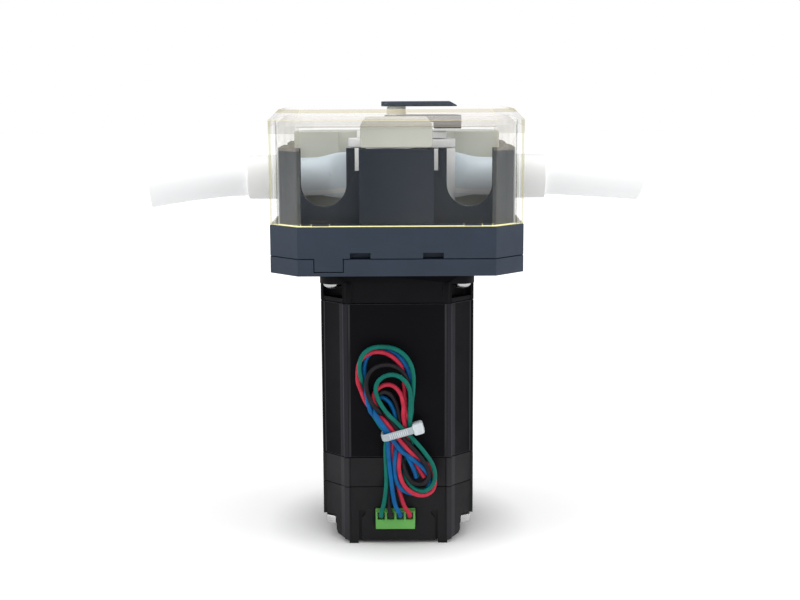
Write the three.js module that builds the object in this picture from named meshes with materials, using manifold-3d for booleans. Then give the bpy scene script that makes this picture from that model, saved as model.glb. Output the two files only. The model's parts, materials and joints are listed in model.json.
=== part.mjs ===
// Stepper driven peristaltic pump, standing upright on the back end of its motor.
// Millimetres, +Z up along the motor shaft, X from tube end to tube end, -Y is the wiring side.
// The origin is on the shaft axis, in the plane of the four small feet of the rear cover.
import * as THREE from 'three';
import { mergeVertices } from 'three/addons/utils/BufferGeometryUtils.js';
import Module from 'manifold-3d';

const wasm = await Module();
wasm.setup();

// ---- driving dimensions ----
const GAP = 0.3;                       // clearance between pieces that touch
const MOTOR_HALF = 28.2;               // half of the 56.4 mm square motor
const MOTOR_FACE_HALF = 19.9;          // half width of each side between the corner facets
const MOTOR_CORNER_STEP = 1.2;         // small step at each end of a corner facet
const MOTOR_STRIP = { inner: 17.8, raise: 0.3 };  // narrow raised strips along both edges of each side
const BELL_LUG = { x: 17.85, radius: 1.75, set: 1.1 };  // rounded lugs beside the screw pockets
const SCREW_PITCH_HALF = 23.57;        // half of the 47.14 mm flange hole spacing
const FLANGE_THICKNESS = 4.7;
const PILOT_RADIUS = 19.05;
const SHAFT_RADIUS = 3.175;
const BEARING_RADIUS = 9.5;
const FLANGE_SCREW = { pocket: 5.2, hole: 2.55, shank: 2.2, head: 3.4, headHeight: 2.0, top: 107.6 };
const WINDING = { outer: 23.7, inner: 17.5, z: [35, 89] };
const MAGNET = { radius: 16.9, z: [38, 86] };
const SHAFT_Z = [22.6, 145.5];
const SHAFT_HOLE = 4.2;
const REAR_BEARING_Z = [24.5, 29.5];
const FRONT_BEARING_Z = [94.0, 99.0];
const BELL_ROOM_RADIUS = 15;
const STATOR_BORE = 24;

const FOOT_HEIGHT = 1.2;
const REAR_COVER_TOP = 21.7;
const REAR_SHOULDER = 9.3;             // below this the sides of the rear cover are set in
const REAR_TOE = [[18.6, FOOT_HEIGHT], [22.6, 2.6], [24.6, 7.0], [24.9, REAR_SHOULDER + 0.5]];
const REAR_WALL = 2.2;
const REAR_SLOT = [[14.7, -1], [13.6, -1], [13.6, 9.8], [12.2, 11.4], [12.2, 12.8], [14.7, 12.8]];
const FOOT = { x: [14.9, 18.3], y: [24.6, 28.0] };
const REAR_BOLT = [23.7, 19.3];
const REAR_BOLT_HEAD = 4.0;
const REAR_BOLT_SHANK = 1.3;
const REAR_BOLT_TOP = 30;
const REAR_BELL = [22.0, 32.9];
const STATOR = [33.2, 90.8];
const FRONT_BELL = [91.1, 102.8];

const HEAD_HALF = 45.25;               // half width of the pump head
const HEAD_FRONT = -43;
const HEAD_BACK = 43;
const HEAD_CHAMFER = 10.5;             // upright corners of the head
const BASE_PLATE = [103.1, 109.0];
const BODY_BOTTOM = 109.3;
const BODY_FLOOR = 113.3;
const BODY_LEDGE = 120.2;
const BODY_TOP = 147.3;
const TAB = { x: [-28.9, -18.9], depth: 1.6, drop: 4.3 };  // the body's tab over the base plate
const BODY_SLOT_X = [9.2, 16.4];
const COVER_BOTTOM = 120.5;
const COVER_TOP = 161.0;
const COVER_WALL = 2.6;
const COVER_BEVEL = 3.8;
const COVER_ROOF = 2.5;
const COVER_HOLE = 3.8;
const HOOK_X = [-30, -23.6];
const HOOK = { y: [-40.2, -38.8], depth: 3, rise: 1.6 };

const HOUSING_HALF = 42.3;             // outside of the walls that stand inside the cover
const HOUSING_FRONT = -32;
const HOUSING_BACK = 40.0;
const HOUSING_CHAMFER = 3.2;
const HOUSING_BACK_CHAMFER = 9.4;
const HOUSING_WALL = 2.2;
const FRONT_NOTCH = { x: 25.9, radius: 8.1, z: 134.6 };
const FRONT_SLIT = { x: [13.35, 14.8], bottom: 139.2 };
const FRONT_BOX = { half: 13.1, y: -39.8, wall: 2.2 };  // box in the middle of the front wall

const TUBE_Z = 134.7;                  // height of the tube's middle and of all the U notches
const TUBE_RADIUS = 7.2;
const BORE_RADIUS = 4.8;
const TUBE_EXIT_Y = 5;
const TUBE_ARC_RADIUS = 25.0;
const TUBE_FLAT_HALF = 1.85;           // half thickness where the rollers squeeze it
const TUBE_FLAT_HALF_HEIGHT = 8.8;
const SQUEEZE_X = [21.5, 31];          // the squeeze fades out between these distances from the middle
const SWELL_X = [62, 95];              // the left stub widens a little between these
const SWELL = 0.09;
const RIGHT_CUT_SLANT = 0.2;
const BORE_END = 0.215;                // share of the route that stays open at each end
const TRACK_RADIUS = 27.2;
const TRACK_TOP = 151.4;
const SLEEVE_RADIUS = 8.4;
const SLEEVE_END = 56.3;

const ROLLER_COUNT = 3;
const ROLLER_CIRCLE = 14.5;            // distance of the roller pins from the shaft
const ROLLER_RADIUS = 8.3;
const ROLLER_PIN_RADIUS = 1.9;
const ROLLER_PHASE = 15;               // degrees from +X at rest
const ROLLER = [121.0, 145.6];
const LOWER_PLATE = [117.6, 120.6];
const UPPER_PLATE = [146.0, 149.0];
const ROTOR_CAP = [149.3, 151.9];
const HUB_RADIUS = 5.9;
const HUB_Z = [109.8, 149.0];
const HEAD_BEARING_Z = [BODY_BOTTOM + 0.2, BODY_FLOOR - GAP];
const ROLLER_PIN_Z = [117.8, 148.8];

const LEVER_REACH = 22.6;
const LATCH_REACH = 24.3;
const LEVER_WIDTH = 9;
const LEVER_Z = [COVER_TOP + GAP, 163.1];
const LEVER_SLOPE = 2.6;                // the lever's far end slopes over this length
const LATCH_Z = [155.5, COVER_TOP - COVER_ROOF - GAP];
const LATCH_PIN = 3.5;

const PIN_COUNT = 4;
const PIN_PITCH = 3.5;
const PLUG_X = -1.05;
const PLUG_FRONT = -31.0;
const PLUG_BACK = -28.4;
const PLUG_Z = [6.5, 13.2];
const PLUG_HALF = 7.25;
const WELL = { half: 1.35, depth: 1.6, z: [10.1, 12.9] };
const SOCKET = { half: 7.4, y: [-28.0, -18.5], z: [6.2, 13.4], wall: 0.8, floor: 0.7, back: 2.2 };
const BOARD = { x: [-14, 12], y: [-18.2, -16.6], z: [4, 18] };
const LEAD_RADIUS = 0.825;
const HANK_BACK = -30.0;
const HANK_DEPTH = 5.2;
const HANK_BOTTOM = 18.8;
const LEAD_TOPS = [-6.1, -3.9, -1.3, 1.6];
const TIE_THICKNESS = 1.1;
const TIE_TILT = 16 * Math.PI / 180;
const TIE = { middle: [0.45, 44.1], half: 5.5, width: 2.6 };
const TIE_HEAD = { x: [5.1, 9.6], half: 2.5, front: 1.0, back: 1.2 };

const ROUND = 32;                      // sides of a middling round part
const group = new THREE.Group();

// ---- solids ----
function solidOf(geometry) {
  let plain = geometry.index ? geometry.toNonIndexed() : geometry;
  plain = plain.clone();
  plain.deleteAttribute('normal');
  plain.deleteAttribute('uv');
  const merged = mergeVertices(plain, 1e-4);
  return new wasm.Manifold(new wasm.Mesh({
    numProp: 3,
    vertProperties: merged.attributes.position.array,
    triVerts: new Uint32Array(merged.index.array),
  }));
}

function addPiece(name, solid, look) {
  const mesh = solid.getMesh();
  const geometry = new THREE.BufferGeometry();
  geometry.setAttribute('position', new THREE.BufferAttribute(new Float32Array(mesh.vertProperties), 3));
  geometry.setIndex(new THREE.BufferAttribute(new Uint32Array(mesh.triVerts), 1));
  geometry.computeVertexNormals();
  const piece = new THREE.Mesh(geometry, new THREE.MeshStandardMaterial(look));
  piece.name = name;
  group.add(piece);
  return piece;
}

function box(x, y, z) {
  const geometry = new THREE.BoxGeometry(x[1] - x[0], y[1] - y[0], z[1] - z[0]);
  geometry.translate((x[0] + x[1]) / 2, (y[0] + y[1]) / 2, (z[0] + z[1]) / 2);
  return solidOf(geometry);
}

// An upright prism of an outline in X and Y.
function prism(shape, z, curveSegments = 8) {
  const depth = z[1] - z[0];
  const geometry = new THREE.ExtrudeGeometry(shape, { depth, bevelEnabled: false, curveSegments });
  geometry.translate(0, 0, z[0]);
  return solidOf(geometry);
}

// A prism that runs along Y, of an outline in X and Z.
function frontPrism(shape, y, curveSegments = 10) {
  const depth = y[1] - y[0];
  const geometry = new THREE.ExtrudeGeometry(shape, { depth, bevelEnabled: false, curveSegments });
  geometry.rotateX(Math.PI / 2);
  geometry.translate(0, y[1], 0);
  return solidOf(geometry);
}

// A prism that runs along X, of an outline in Y and Z.
function sidePrism(shape, x, curveSegments = 10) {
  const depth = x[1] - x[0];
  const geometry = new THREE.ExtrudeGeometry(shape, { depth, bevelEnabled: false, curveSegments });
  geometry.applyMatrix4(new THREE.Matrix4().set(0, 0, 1, x[0], 1, 0, 0, 0, 0, 1, 0, 0, 0, 0, 0, 1));
  return solidOf(geometry);
}

function upright(radius, z, x = 0, y = 0, sides = ROUND) {
  const geometry = new THREE.CylinderGeometry(radius, radius, z[1] - z[0], sides);
  geometry.rotateX(Math.PI / 2);
  geometry.translate(x, y, (z[0] + z[1]) / 2);
  return solidOf(geometry);
}

function ring(outer, inner, z, x = 0, y = 0, sides = ROUND) {
  return upright(outer, z, x, y, sides).subtract(upright(inner, [z[0] - 1, z[1] + 1], x, y, sides));
}

function alongX(radius, x, y, z, sides = ROUND) {
  const geometry = new THREE.CylinderGeometry(radius, radius, x[1] - x[0], sides);
  geometry.rotateZ(Math.PI / 2);
  geometry.translate((x[0] + x[1]) / 2, y, z);
  return solidOf(geometry);
}

// Cutting can leave loose slivers beside the piece itself.
function largestBody(solid) {
  const bodies = solid.decompose();
  return bodies.reduce((best, body) => (body.volume() > best.volume() ? body : best));
}

// ---- outlines ----
function polygon(points) {
  return new THREE.Shape(points.map(([a, b]) => new THREE.Vector2(a, b)));
}

function cutCornerRectangle(x, y, cut, backCut = cut) {
  return polygon([
    [x[0] + cut, y[0]], [x[1] - cut, y[0]], [x[1], y[0] + cut], [x[1], y[1] - backCut],
    [x[1] - backCut, y[1]], [x[0] + backCut, y[1]], [x[0], y[1] - backCut], [x[0], y[0] + cut],
  ]);
}

function roundedSquare(half, radius) {
  const shape = new THREE.Shape();
  const inner = half - radius;
  shape.moveTo(-inner, -half);
  shape.lineTo(inner, -half);
  shape.absarc(inner, -inner, radius, -Math.PI / 2, 0);
  shape.lineTo(half, inner);
  shape.absarc(inner, inner, radius, 0, Math.PI / 2);
  shape.lineTo(-inner, half);
  shape.absarc(-inner, inner, radius, Math.PI / 2, Math.PI);
  shape.lineTo(-half, -inner);
  shape.absarc(-inner, -inner, radius, Math.PI, 1.5 * Math.PI);
  return shape;
}

// Square with a stepped facet at each corner, the section of the motor.
function motorOutline(half = MOTOR_HALF) {
  const set = half - MOTOR_CORNER_STEP;
  const flat = MOTOR_FACE_HALF;
  const { inner, raise } = MOTOR_STRIP;
  const corner = [
    [inner - raise, -half + raise], [inner, -half], [flat, -half], [flat, -set],
    [set, -flat], [half, -flat], [half, -inner], [half - raise, -inner + raise],
  ];
  const points = [];
  for (let turn = 0; turn < 4; turn++) {
    const c = Math.round(Math.cos(turn * Math.PI / 2));
    const s = Math.round(Math.sin(turn * Math.PI / 2));
    for (const [x, y] of corner) points.push([x * c - y * s, x * s + y * c]);
  }
  return polygon(points);
}

// U notch, open at the top: half a circle with straight sides up to top.
function notch(middle, radius, bottomMiddle, top) {
  const shape = new THREE.Shape();
  shape.moveTo(middle + radius, top);
  shape.lineTo(middle - radius, top);
  shape.lineTo(middle - radius, bottomMiddle);
  shape.absarc(middle, bottomMiddle, radius, Math.PI, 2 * Math.PI);
  return shape;
}

// Arch, open at the bottom.
function arch(middle, radius, topMiddle, bottom) {
  const shape = new THREE.Shape();
  shape.moveTo(middle - radius, bottom);
  shape.lineTo(middle + radius, bottom);
  shape.lineTo(middle + radius, topMiddle);
  shape.absarc(middle, topMiddle, radius, 0, Math.PI);
  return shape;
}

function onCircle(radius, degrees) {
  const angle = degrees * Math.PI / 180;
  return [radius * Math.cos(angle), radius * Math.sin(angle)];
}

const corners = [[1, -1], [1, 1], [-1, 1], [-1, -1]];

// ---- motor ----
const BLACK_PAINT = { color: 0x17181b, roughness: 0.55, metalness: 0.3 };
const BLACK_PLASTIC = { color: 0x1a1b1e, roughness: 0.6, metalness: 0 };
const STEEL = { color: 0xb9bcc0, roughness: 0.3, metalness: 1 };
const BEARING_STEEL = { color: 0xa9adb2, roughness: 0.25, metalness: 1 };
const COPPER = { color: 0xa65a2a, roughness: 0.45, metalness: 0.7 };

// Points on the right, and the same points mirrored to the left.
function mirrored(points) {
  return [...points, ...points.map(([a, b]) => [-a, b]).reverse()];
}

function makeRearCover() {
  const reach = MOTOR_HALF + 1;
  let cover = prism(motorOutline(), [FOOT_HEIGHT, REAR_SHOULDER + 0.5])
    .intersect(frontPrism(polygon(mirrored(REAR_TOE)), [-reach, reach]))
    .add(prism(motorOutline(), [REAR_SHOULDER, REAR_COVER_TOP]));
  // hollow for the wiring, open upwards, and a window for the socket
  const room = MOTOR_HALF - REAR_WALL - 6.2;
  const depth = MOTOR_HALF - REAR_WALL;
  cover = cover.subtract(box([-room, room], [-depth, depth], [FOOT_HEIGHT + REAR_WALL, REAR_COVER_TOP + 1]));
  const windowHalf = SOCKET.half + GAP;
  cover = cover.subtract(box([PLUG_X - windowHalf, PLUG_X + windowHalf], [-reach, -20],
    [SOCKET.z[0] - GAP, SOCKET.z[1] + GAP]));
  // two slots beside the corner posts, front and back
  const slotDepth = 1.4;
  for (const side of [-1, 1]) {
    const points = REAR_SLOT.map(([a, b]) => [side * a, b]);
    const slot = polygon(side > 0 ? points : points.reverse());
    cover = cover.subtract(frontPrism(slot, [-reach, -MOTOR_HALF + slotDepth]));
    cover = cover.subtract(frontPrism(slot, [MOTOR_HALF - slotDepth, reach]));
  }
  // feet under the corner posts, and room for the long bolts
  for (const [sx, sy] of corners) {
    const x = sx > 0 ? FOOT.x : [-FOOT.x[1], -FOOT.x[0]];
    const y = sy > 0 ? FOOT.y : [-FOOT.y[1], -FOOT.y[0]];
    cover = cover.add(box(x, y, [0, FOOT_HEIGHT + 1]));
    const [bx, by] = [sx * REAR_BOLT[0], sy * REAR_BOLT[1]];
    cover = cover.subtract(upright(REAR_BOLT_HEAD + GAP + 0.1, [-1, REAR_SHOULDER], bx, by, 24));
    cover = cover.subtract(upright(REAR_BOLT_SHANK + GAP, [0, 40], bx, by, 16));
  }
  return cover;
}

function makeRearBell() {
  let bell = prism(motorOutline(), REAR_BELL);
  const [low, high] = REAR_BEARING_Z;
  bell = bell.subtract(upright(BELL_ROOM_RADIUS, [high + GAP, REAR_BELL[1] + 1]));
  bell = bell.subtract(upright(BEARING_RADIUS + GAP, [low - GAP, high + 1]));
  bell = bell.subtract(upright(SHAFT_HOLE, [REAR_BELL[0] - 1, low]));
  for (const [sx, sy] of corners) {
    const [x, y] = [sx * REAR_BOLT[0], sy * REAR_BOLT[1]];
    bell = bell.subtract(upright(REAR_BOLT_SHANK + GAP, [REAR_BELL[0] - 1, REAR_BOLT_TOP + GAP], x, y, 16));
  }
  return bell;
}

function makeStator() {
  return prism(motorOutline(), STATOR).subtract(upright(STATOR_BORE, [STATOR[0] - 1, STATOR[1] + 1]));
}

function makeFrontBell() {
  const [bottom, top] = FRONT_BELL;
  const flangeBottom = top - FLANGE_THICKNESS;
  let bell = prism(motorOutline(), [bottom, flangeBottom + 1]);
  for (const [sx, sy] of corners) {
    const [x, y] = [sx * SCREW_PITCH_HALF, sy * SCREW_PITCH_HALF];
    bell = bell.subtract(upright(FLANGE_SCREW.pocket, [bottom + 1.5, flangeBottom + 2], x, y, 24));
    const lugY = sy * (MOTOR_HALF - BELL_LUG.set);
    bell = bell.add(upright(BELL_LUG.radius, [bottom, flangeBottom + 0.5], sx * BELL_LUG.x, lugY, 16));
  }
  bell = bell.add(prism(roundedSquare(MOTOR_HALF, 4.5), [flangeBottom, top], 4));
  bell = bell.add(upright(PILOT_RADIUS, [top - 1, top + 1.6], 0, 0, 48));
  for (const [sx, sy] of corners) {
    const [x, y] = [sx * SCREW_PITCH_HALF, sy * SCREW_PITCH_HALF];
    bell = bell.subtract(upright(FLANGE_SCREW.hole, [flangeBottom - 1, top + 1], x, y, 16));
  }
  const [low, high] = FRONT_BEARING_Z;
  bell = bell.subtract(upright(BELL_ROOM_RADIUS, [bottom - 1, low - GAP]));
  bell = bell.subtract(upright(BEARING_RADIUS + GAP, [low - 1, high + GAP]));
  bell = bell.subtract(upright(SHAFT_HOLE, [high, top + 5]));
  return bell;
}

function makeHeadScrew(x, y) {
  const headTop = FRONT_BELL[1] - FLANGE_THICKNESS - GAP;
  const { head, headHeight, shank, top } = FLANGE_SCREW;
  const geometry = new THREE.LatheGeometry([
    new THREE.Vector2(0, headTop - headHeight),
    new THREE.Vector2(0.6 * head, headTop - 0.92 * headHeight),
    new THREE.Vector2(0.9 * head, headTop - 0.6 * headHeight),
    new THREE.Vector2(head, headTop - 0.2 * headHeight),
    new THREE.Vector2(head, headTop),
    new THREE.Vector2(0, headTop),
  ], 20);
  geometry.rotateX(Math.PI / 2);
  geometry.translate(x, y, 0);
  return solidOf(geometry).add(upright(shank, [headTop - 0.5, top], x, y, 16));
}

function makeRearBolt(x, y) {
  const head = upright(REAR_BOLT_HEAD, [REAR_SHOULDER - GAP - 2.9, REAR_SHOULDER - GAP], x, y, 6);
  return head.add(upright(REAR_BOLT_SHANK, [REAR_SHOULDER - 1, REAR_BOLT_TOP], x, y, 16));
}

addPiece('rear_cover', makeRearCover(), BLACK_PLASTIC);
addPiece('rear_bell', makeRearBell(), BLACK_PAINT);
addPiece('stator_stack', makeStator(), BLACK_PAINT);
addPiece('stator_windings', ring(WINDING.outer, WINDING.inner, WINDING.z, 0, 0, 40), COPPER);
addPiece('front_bell', makeFrontBell(), BLACK_PAINT);
addPiece('motor_rotor', ring(MAGNET.radius, SHAFT_RADIUS + GAP, MAGNET.z, 0, 0, 40), STEEL);
addPiece('motor_shaft', upright(SHAFT_RADIUS, SHAFT_Z, 0, 0, 24), STEEL);
addPiece('rear_bearing', ring(BEARING_RADIUS, SHAFT_RADIUS + GAP, REAR_BEARING_Z), BEARING_STEEL);
addPiece('front_bearing', ring(BEARING_RADIUS, SHAFT_RADIUS + GAP, FRONT_BEARING_Z), BEARING_STEEL);
corners.forEach(([sx, sy], index) => {
  const number = index + 1;
  addPiece(`head_screw_${number}`, makeHeadScrew(sx * SCREW_PITCH_HALF, sy * SCREW_PITCH_HALF), STEEL);
  addPiece(`rear_bolt_${number}`, makeRearBolt(sx * REAR_BOLT[0], sy * REAR_BOLT[1]), STEEL);
});

// ---- terminal socket and plug ----
const TERMINAL_GREEN = { color: 0x5fae55, roughness: 0.45, metalness: 0 };
const BOARD_GREEN = { color: 0x1f5c38, roughness: 0.5, metalness: 0 };

function makeSocket() {
  const { half, y, z, wall, back } = SOCKET;
  const hollowX = [PLUG_X - half + wall, PLUG_X + half - wall];
  const hollow = box(hollowX, [y[0] - 5, y[1] - back], [z[0] + SOCKET.floor, z[1] - wall]);
  return box([PLUG_X - half, PLUG_X + half], y, z).subtract(hollow);
}

function pinPlace(index) {
  return PLUG_X + (index - (PIN_COUNT - 1) / 2) * PIN_PITCH;
}

function makePlug() {
  const innerHalf = SOCKET.half - SOCKET.wall - GAP;
  const innerZ = [SOCKET.z[0] + SOCKET.floor + GAP, SOCKET.z[1] - SOCKET.wall - GAP];
  let plug = box([PLUG_X - PLUG_HALF, PLUG_X + PLUG_HALF], [PLUG_FRONT, PLUG_BACK], PLUG_Z);
  plug = plug.add(box([PLUG_X - innerHalf, PLUG_X + innerHalf], [PLUG_BACK - 0.6, -21.2], innerZ));
  for (let index = 0; index < PIN_COUNT; index++) {
    const x = pinPlace(index);
    const across = [x - WELL.half, x + WELL.half];
    plug = plug.subtract(box(across, [PLUG_FRONT - 1, PLUG_FRONT + WELL.depth], WELL.z));
  }
  return plug;
}

addPiece('terminal_board', box(BOARD.x, BOARD.y, BOARD.z), BOARD_GREEN);
addPiece('terminal_socket', makeSocket(), TERMINAL_GREEN);
addPiece('terminal_plug', makePlug(), TERMINAL_GREEN);

// ---- pump head: base plate, body, track ----
const SLATE = { color: 0x444c58, roughness: 0.5, metalness: 0 };
const BEIGE = { color: 0xc9c9bd, roughness: 0.5, metalness: 0 };
const WHITE_PLASTIC = { color: 0xeeeeea, roughness: 0.4, metalness: 0 };

const headOutline = () => cutCornerRectangle([-HEAD_HALF, HEAD_HALF], [HEAD_FRONT, HEAD_BACK], HEAD_CHAMFER);

function makeBasePlate() {
  let plate = prism(headOutline(), BASE_PLATE);
  plate = plate.subtract(upright(PILOT_RADIUS + GAP, [100, 112], 0, 0, 48));
  for (const [sx, sy] of corners) {
    plate = plate.subtract(upright(2.5, [100, 107.9], sx * SCREW_PITCH_HALF, sy * SCREW_PITCH_HALF, 16));
  }
  plate = plate.subtract(box([TAB.x[0] - GAP, TAB.x[1] + GAP], [HEAD_FRONT - 1, HEAD_FRONT + TAB.depth + GAP],
    [BASE_PLATE[1] - TAB.drop - GAP, BASE_PLATE[1] + 1]));
  return plate;
}

// Outline of the housing walls, inset by a wall's thickness for their inner side.
function housingOutline(inset) {
  const half = HOUSING_HALF - inset;
  const narrower = inset * (2 - Math.SQRT2);
  return cutCornerRectangle([-half, half], [HOUSING_FRONT + inset, HOUSING_BACK - inset],
    HOUSING_CHAMFER - narrower, HOUSING_BACK_CHAMFER - narrower);
}

function makeHousingWalls() {
  const z = [BODY_LEDGE - 1, BODY_TOP];
  let walls = prism(housingOutline(0), z);
  const { half, y, wall } = FRONT_BOX;
  walls = walls.add(box([-half, half], [y, HOUSING_FRONT + 1], z));
  walls = walls.subtract(prism(housingOutline(HOUSING_WALL), [z[0] - 1, z[1] + 1]));
  const hollowX = [-half + wall, half - wall];
  walls = walls.subtract(box(hollowX, [y + wall, HOUSING_FRONT + 3], [BODY_LEDGE + 2, z[1] + 1]));
  for (const side of [-1, 1]) {
    const frontWall = [HOUSING_FRONT - 1, HOUSING_FRONT + 3];
    const cut = notch(side * FRONT_NOTCH.x, FRONT_NOTCH.radius, FRONT_NOTCH.z, BODY_TOP + 1);
    walls = walls.subtract(frontPrism(cut, frontWall));
    const slotX = side > 0 ? FRONT_SLIT.x : [-FRONT_SLIT.x[1], -FRONT_SLIT.x[0]];
    walls = walls.subtract(box(slotX, frontWall, [FRONT_SLIT.bottom, BODY_TOP + 1]));
  }
  walls = walls.subtract(sidePrism(notch(TUBE_EXIT_Y, SLEEVE_RADIUS + GAP, TUBE_Z, BODY_TOP + 1), [-50, 50]));
  return walls;
}

function makePumpBody() {
  let body = prism(headOutline(), [BODY_BOTTOM, BODY_LEDGE]);
  body = body.subtract(prism(housingOutline(HOUSING_WALL), [BODY_FLOOR, BODY_LEDGE + 1]));
  body = body.add(makeHousingWalls());
  body = body.subtract(upright(BEARING_RADIUS + GAP, [100, 120]));
  // tab over the lower plate, two slots above the parting line, pockets for the cover's hooks
  const tabZ = [BASE_PLATE[1] - TAB.drop, BODY_BOTTOM + 1];
  body = body.add(box(TAB.x, [HEAD_FRONT, HEAD_FRONT + TAB.depth], tabZ));
  for (const side of [-1, 1]) {
    const slot = side > 0 ? BODY_SLOT_X : [-BODY_SLOT_X[1], -BODY_SLOT_X[0]];
    body = body.subtract(box(slot, [HEAD_FRONT - 1, HEAD_FRONT + 3], [BODY_BOTTOM - 1, BODY_BOTTOM + 2]));
    const hook = side > 0 ? [-HOOK_X[1], -HOOK_X[0]] : HOOK_X;
    body = body.subtract(box([hook[0] - GAP, hook[1] + GAP], [HOOK.y[0] - GAP, HOOK.y[1] + GAP],
      [BODY_LEDGE - HOOK.depth - GAP, BODY_LEDGE + 1]));
  }
  return body;
}

function makeCoverHooks() {
  let hooks = null;
  for (const side of [-1, 1]) {
    const x = side > 0 ? [-HOOK_X[1], -HOOK_X[0]] : HOOK_X;
    const hook = box(x, [HEAD_FRONT + COVER_WALL - 0.5, HOOK.y[1]], [COVER_BOTTOM, COVER_BOTTOM + HOOK.rise])
      .add(box(x, HOOK.y, [BODY_LEDGE - HOOK.depth, COVER_BOTTOM + 1]));
    hooks = hooks ? hooks.add(hook) : hook;
  }
  return hooks;
}

function bevelledBlock(x, y, z, cut, bevel) {
  const geometry = new THREE.ExtrudeGeometry(cutCornerRectangle(x, y, cut), {
    depth: z[1] - z[0] - 2 * bevel + 20, bevelEnabled: true,
    bevelThickness: bevel, bevelSize: bevel, bevelOffset: -bevel, bevelSegments: 1,
  });
  geometry.translate(0, 0, z[0] + bevel - 20);
  return solidOf(geometry).intersect(box([x[0] - 1, x[1] + 1], [y[0] - 1, y[1] + 1], [z[0], z[1] + 1]));
}

function makeCover() {
  const wall = COVER_WALL;
  const x = [-HEAD_HALF, HEAD_HALF];
  const y = [HEAD_FRONT, HEAD_BACK];
  let cover = bevelledBlock(x, y, [COVER_BOTTOM, COVER_TOP], HEAD_CHAMFER, COVER_BEVEL);
  cover = cover.subtract(bevelledBlock([x[0] + wall, x[1] - wall], [y[0] + wall, y[1] - wall],
    [COVER_BOTTOM - 1, COVER_TOP - COVER_ROOF], HEAD_CHAMFER - wall * (2 - Math.SQRT2), COVER_BEVEL - 0.8));
  cover = cover.add(makeCoverHooks());
  const doorway = arch(TUBE_EXIT_Y, SLEEVE_RADIUS + GAP, TUBE_Z, COVER_BOTTOM - 5);
  cover = cover.subtract(sidePrism(doorway, [-60, 60]));
  cover = cover.subtract(upright(COVER_HOLE, [150, 170], 0, 0, 24));
  return cover;
}

// ---- tube ----
// The route in plan, from the left cut end to the right one. The ends droop a little.
function tubeRoute() {
  const leftStub = [[-93.7, -2.3, 131.55], [-84, -0.4, 132.9], [-72, 2.2, 134.0], [-62, 4.2, 134.6]];
  const droop = [[62, 134.6], [72, 134.0], [84, 133.2], [93.5, 132.5]];
  const rightStub = droop.map(([x, z]) => [x, TUBE_EXIT_Y, z]);
  const inward = [[SLEEVE_END, TUBE_EXIT_Y], [50, TUBE_EXIT_Y], [44, TUBE_EXIT_Y], [38.5, 5.04], [33, 6.1],
    [28, 9.2]];
  const left = [...leftStub, ...inward.map(([x, y]) => [-x, y, TUBE_Z])];
  const right = [...inward.map(([x, y]) => [x, y, TUBE_Z]).reverse(), ...rightStub];
  const arc = [];
  for (let degrees = 147; degrees >= 33; degrees -= 9.5) {
    const [x, y] = onCircle(TUBE_ARC_RADIUS, degrees);
    arc.push([x, y, TUBE_Z]);
  }
  const places = [...left, ...arc, ...right].map((p) => new THREE.Vector3(...p));
  return new THREE.CatmullRomCurve3(places, false, 'centripetal');
}

function smoothStep(value, low, high) {
  const t = Math.min(1, Math.max(0, (value - low) / (high - low)));
  return t * t * (3 - 2 * t);
}

// Half width across the route and half height of the tube's section at a distance x from the shaft plane.
function tubeSection(x, radius) {
  const squeeze = 1 - smoothStep(Math.abs(x), ...SQUEEZE_X);
  const swell = 1 + SWELL * smoothStep(-x, ...SWELL_X);
  const wide = radius + (TUBE_FLAT_HALF - TUBE_RADIUS) * squeeze;
  const high = (radius + (TUBE_FLAT_HALF_HEIGHT - TUBE_RADIUS) * squeeze) * swell;
  return [wide, high];
}

// A round bar mapped along part of the route, with its section set at each station.
function sweep(route, from, to, radius, steps, sides, slant = 0) {
  const geometry = new THREE.CylinderGeometry(1, 1, 1, sides, steps).toNonIndexed();
  const places = geometry.attributes.position;
  const up = new THREE.Vector3(0, 0, 1);
  for (let index = 0; index < places.count; index++) {
    const station = from + (to - from) * (places.getY(index) + 0.5);
    const inside = Math.min(1, Math.max(0, station));
    const middle = route.getPointAt(inside);
    const along = route.getTangentAt(inside);
    middle.addScaledVector(along, (station - inside) * route.getLength());
    const across = new THREE.Vector3().crossVectors(up, along).normalize();
    const lift = new THREE.Vector3().crossVectors(along, across);
    const [wide, high] = tubeSection(middle.x, radius);
    const a = -places.getX(index) * wide;
    const b = places.getZ(index) * high;
    middle.addScaledVector(across, a).addScaledVector(lift, b);
    middle.addScaledVector(along, slant * b * smoothStep(station, 0.97, 1));
    places.setXYZ(index, middle.x, middle.y, middle.z);
  }
  return solidOf(geometry);
}

const route = tubeRoute();

function makeTube() {
  const tube = sweep(route, 0, 1, TUBE_RADIUS, 50, 18, RIGHT_CUT_SLANT);
  const leftBore = sweep(route, -0.02, BORE_END, BORE_RADIUS, 10, 12);
  const rightBore = sweep(route, 1 - BORE_END, 1.02, BORE_RADIUS, 10, 12);
  return tube.subtract(leftBore).subtract(rightBore);
}

function makeTrack() {
  const room = prism(housingOutline(HOUSING_WALL + GAP), [BODY_FLOOR + GAP, TRACK_TOP]);
  let track = room.intersect(box([-50, 50], [15.2, 50], [100, 170]));
  track = track.subtract(upright(TRACK_RADIUS, [100, 170], 0, 0, 64));
  const clearance = 0.4;
  const left = sweep(route, 0.2, 0.5, TUBE_RADIUS + clearance, 24, 20);
  const right = sweep(route, 0.5, 0.8, TUBE_RADIUS + clearance, 24, 20);
  return largestBody(track.subtract(left).subtract(right));
}

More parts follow.
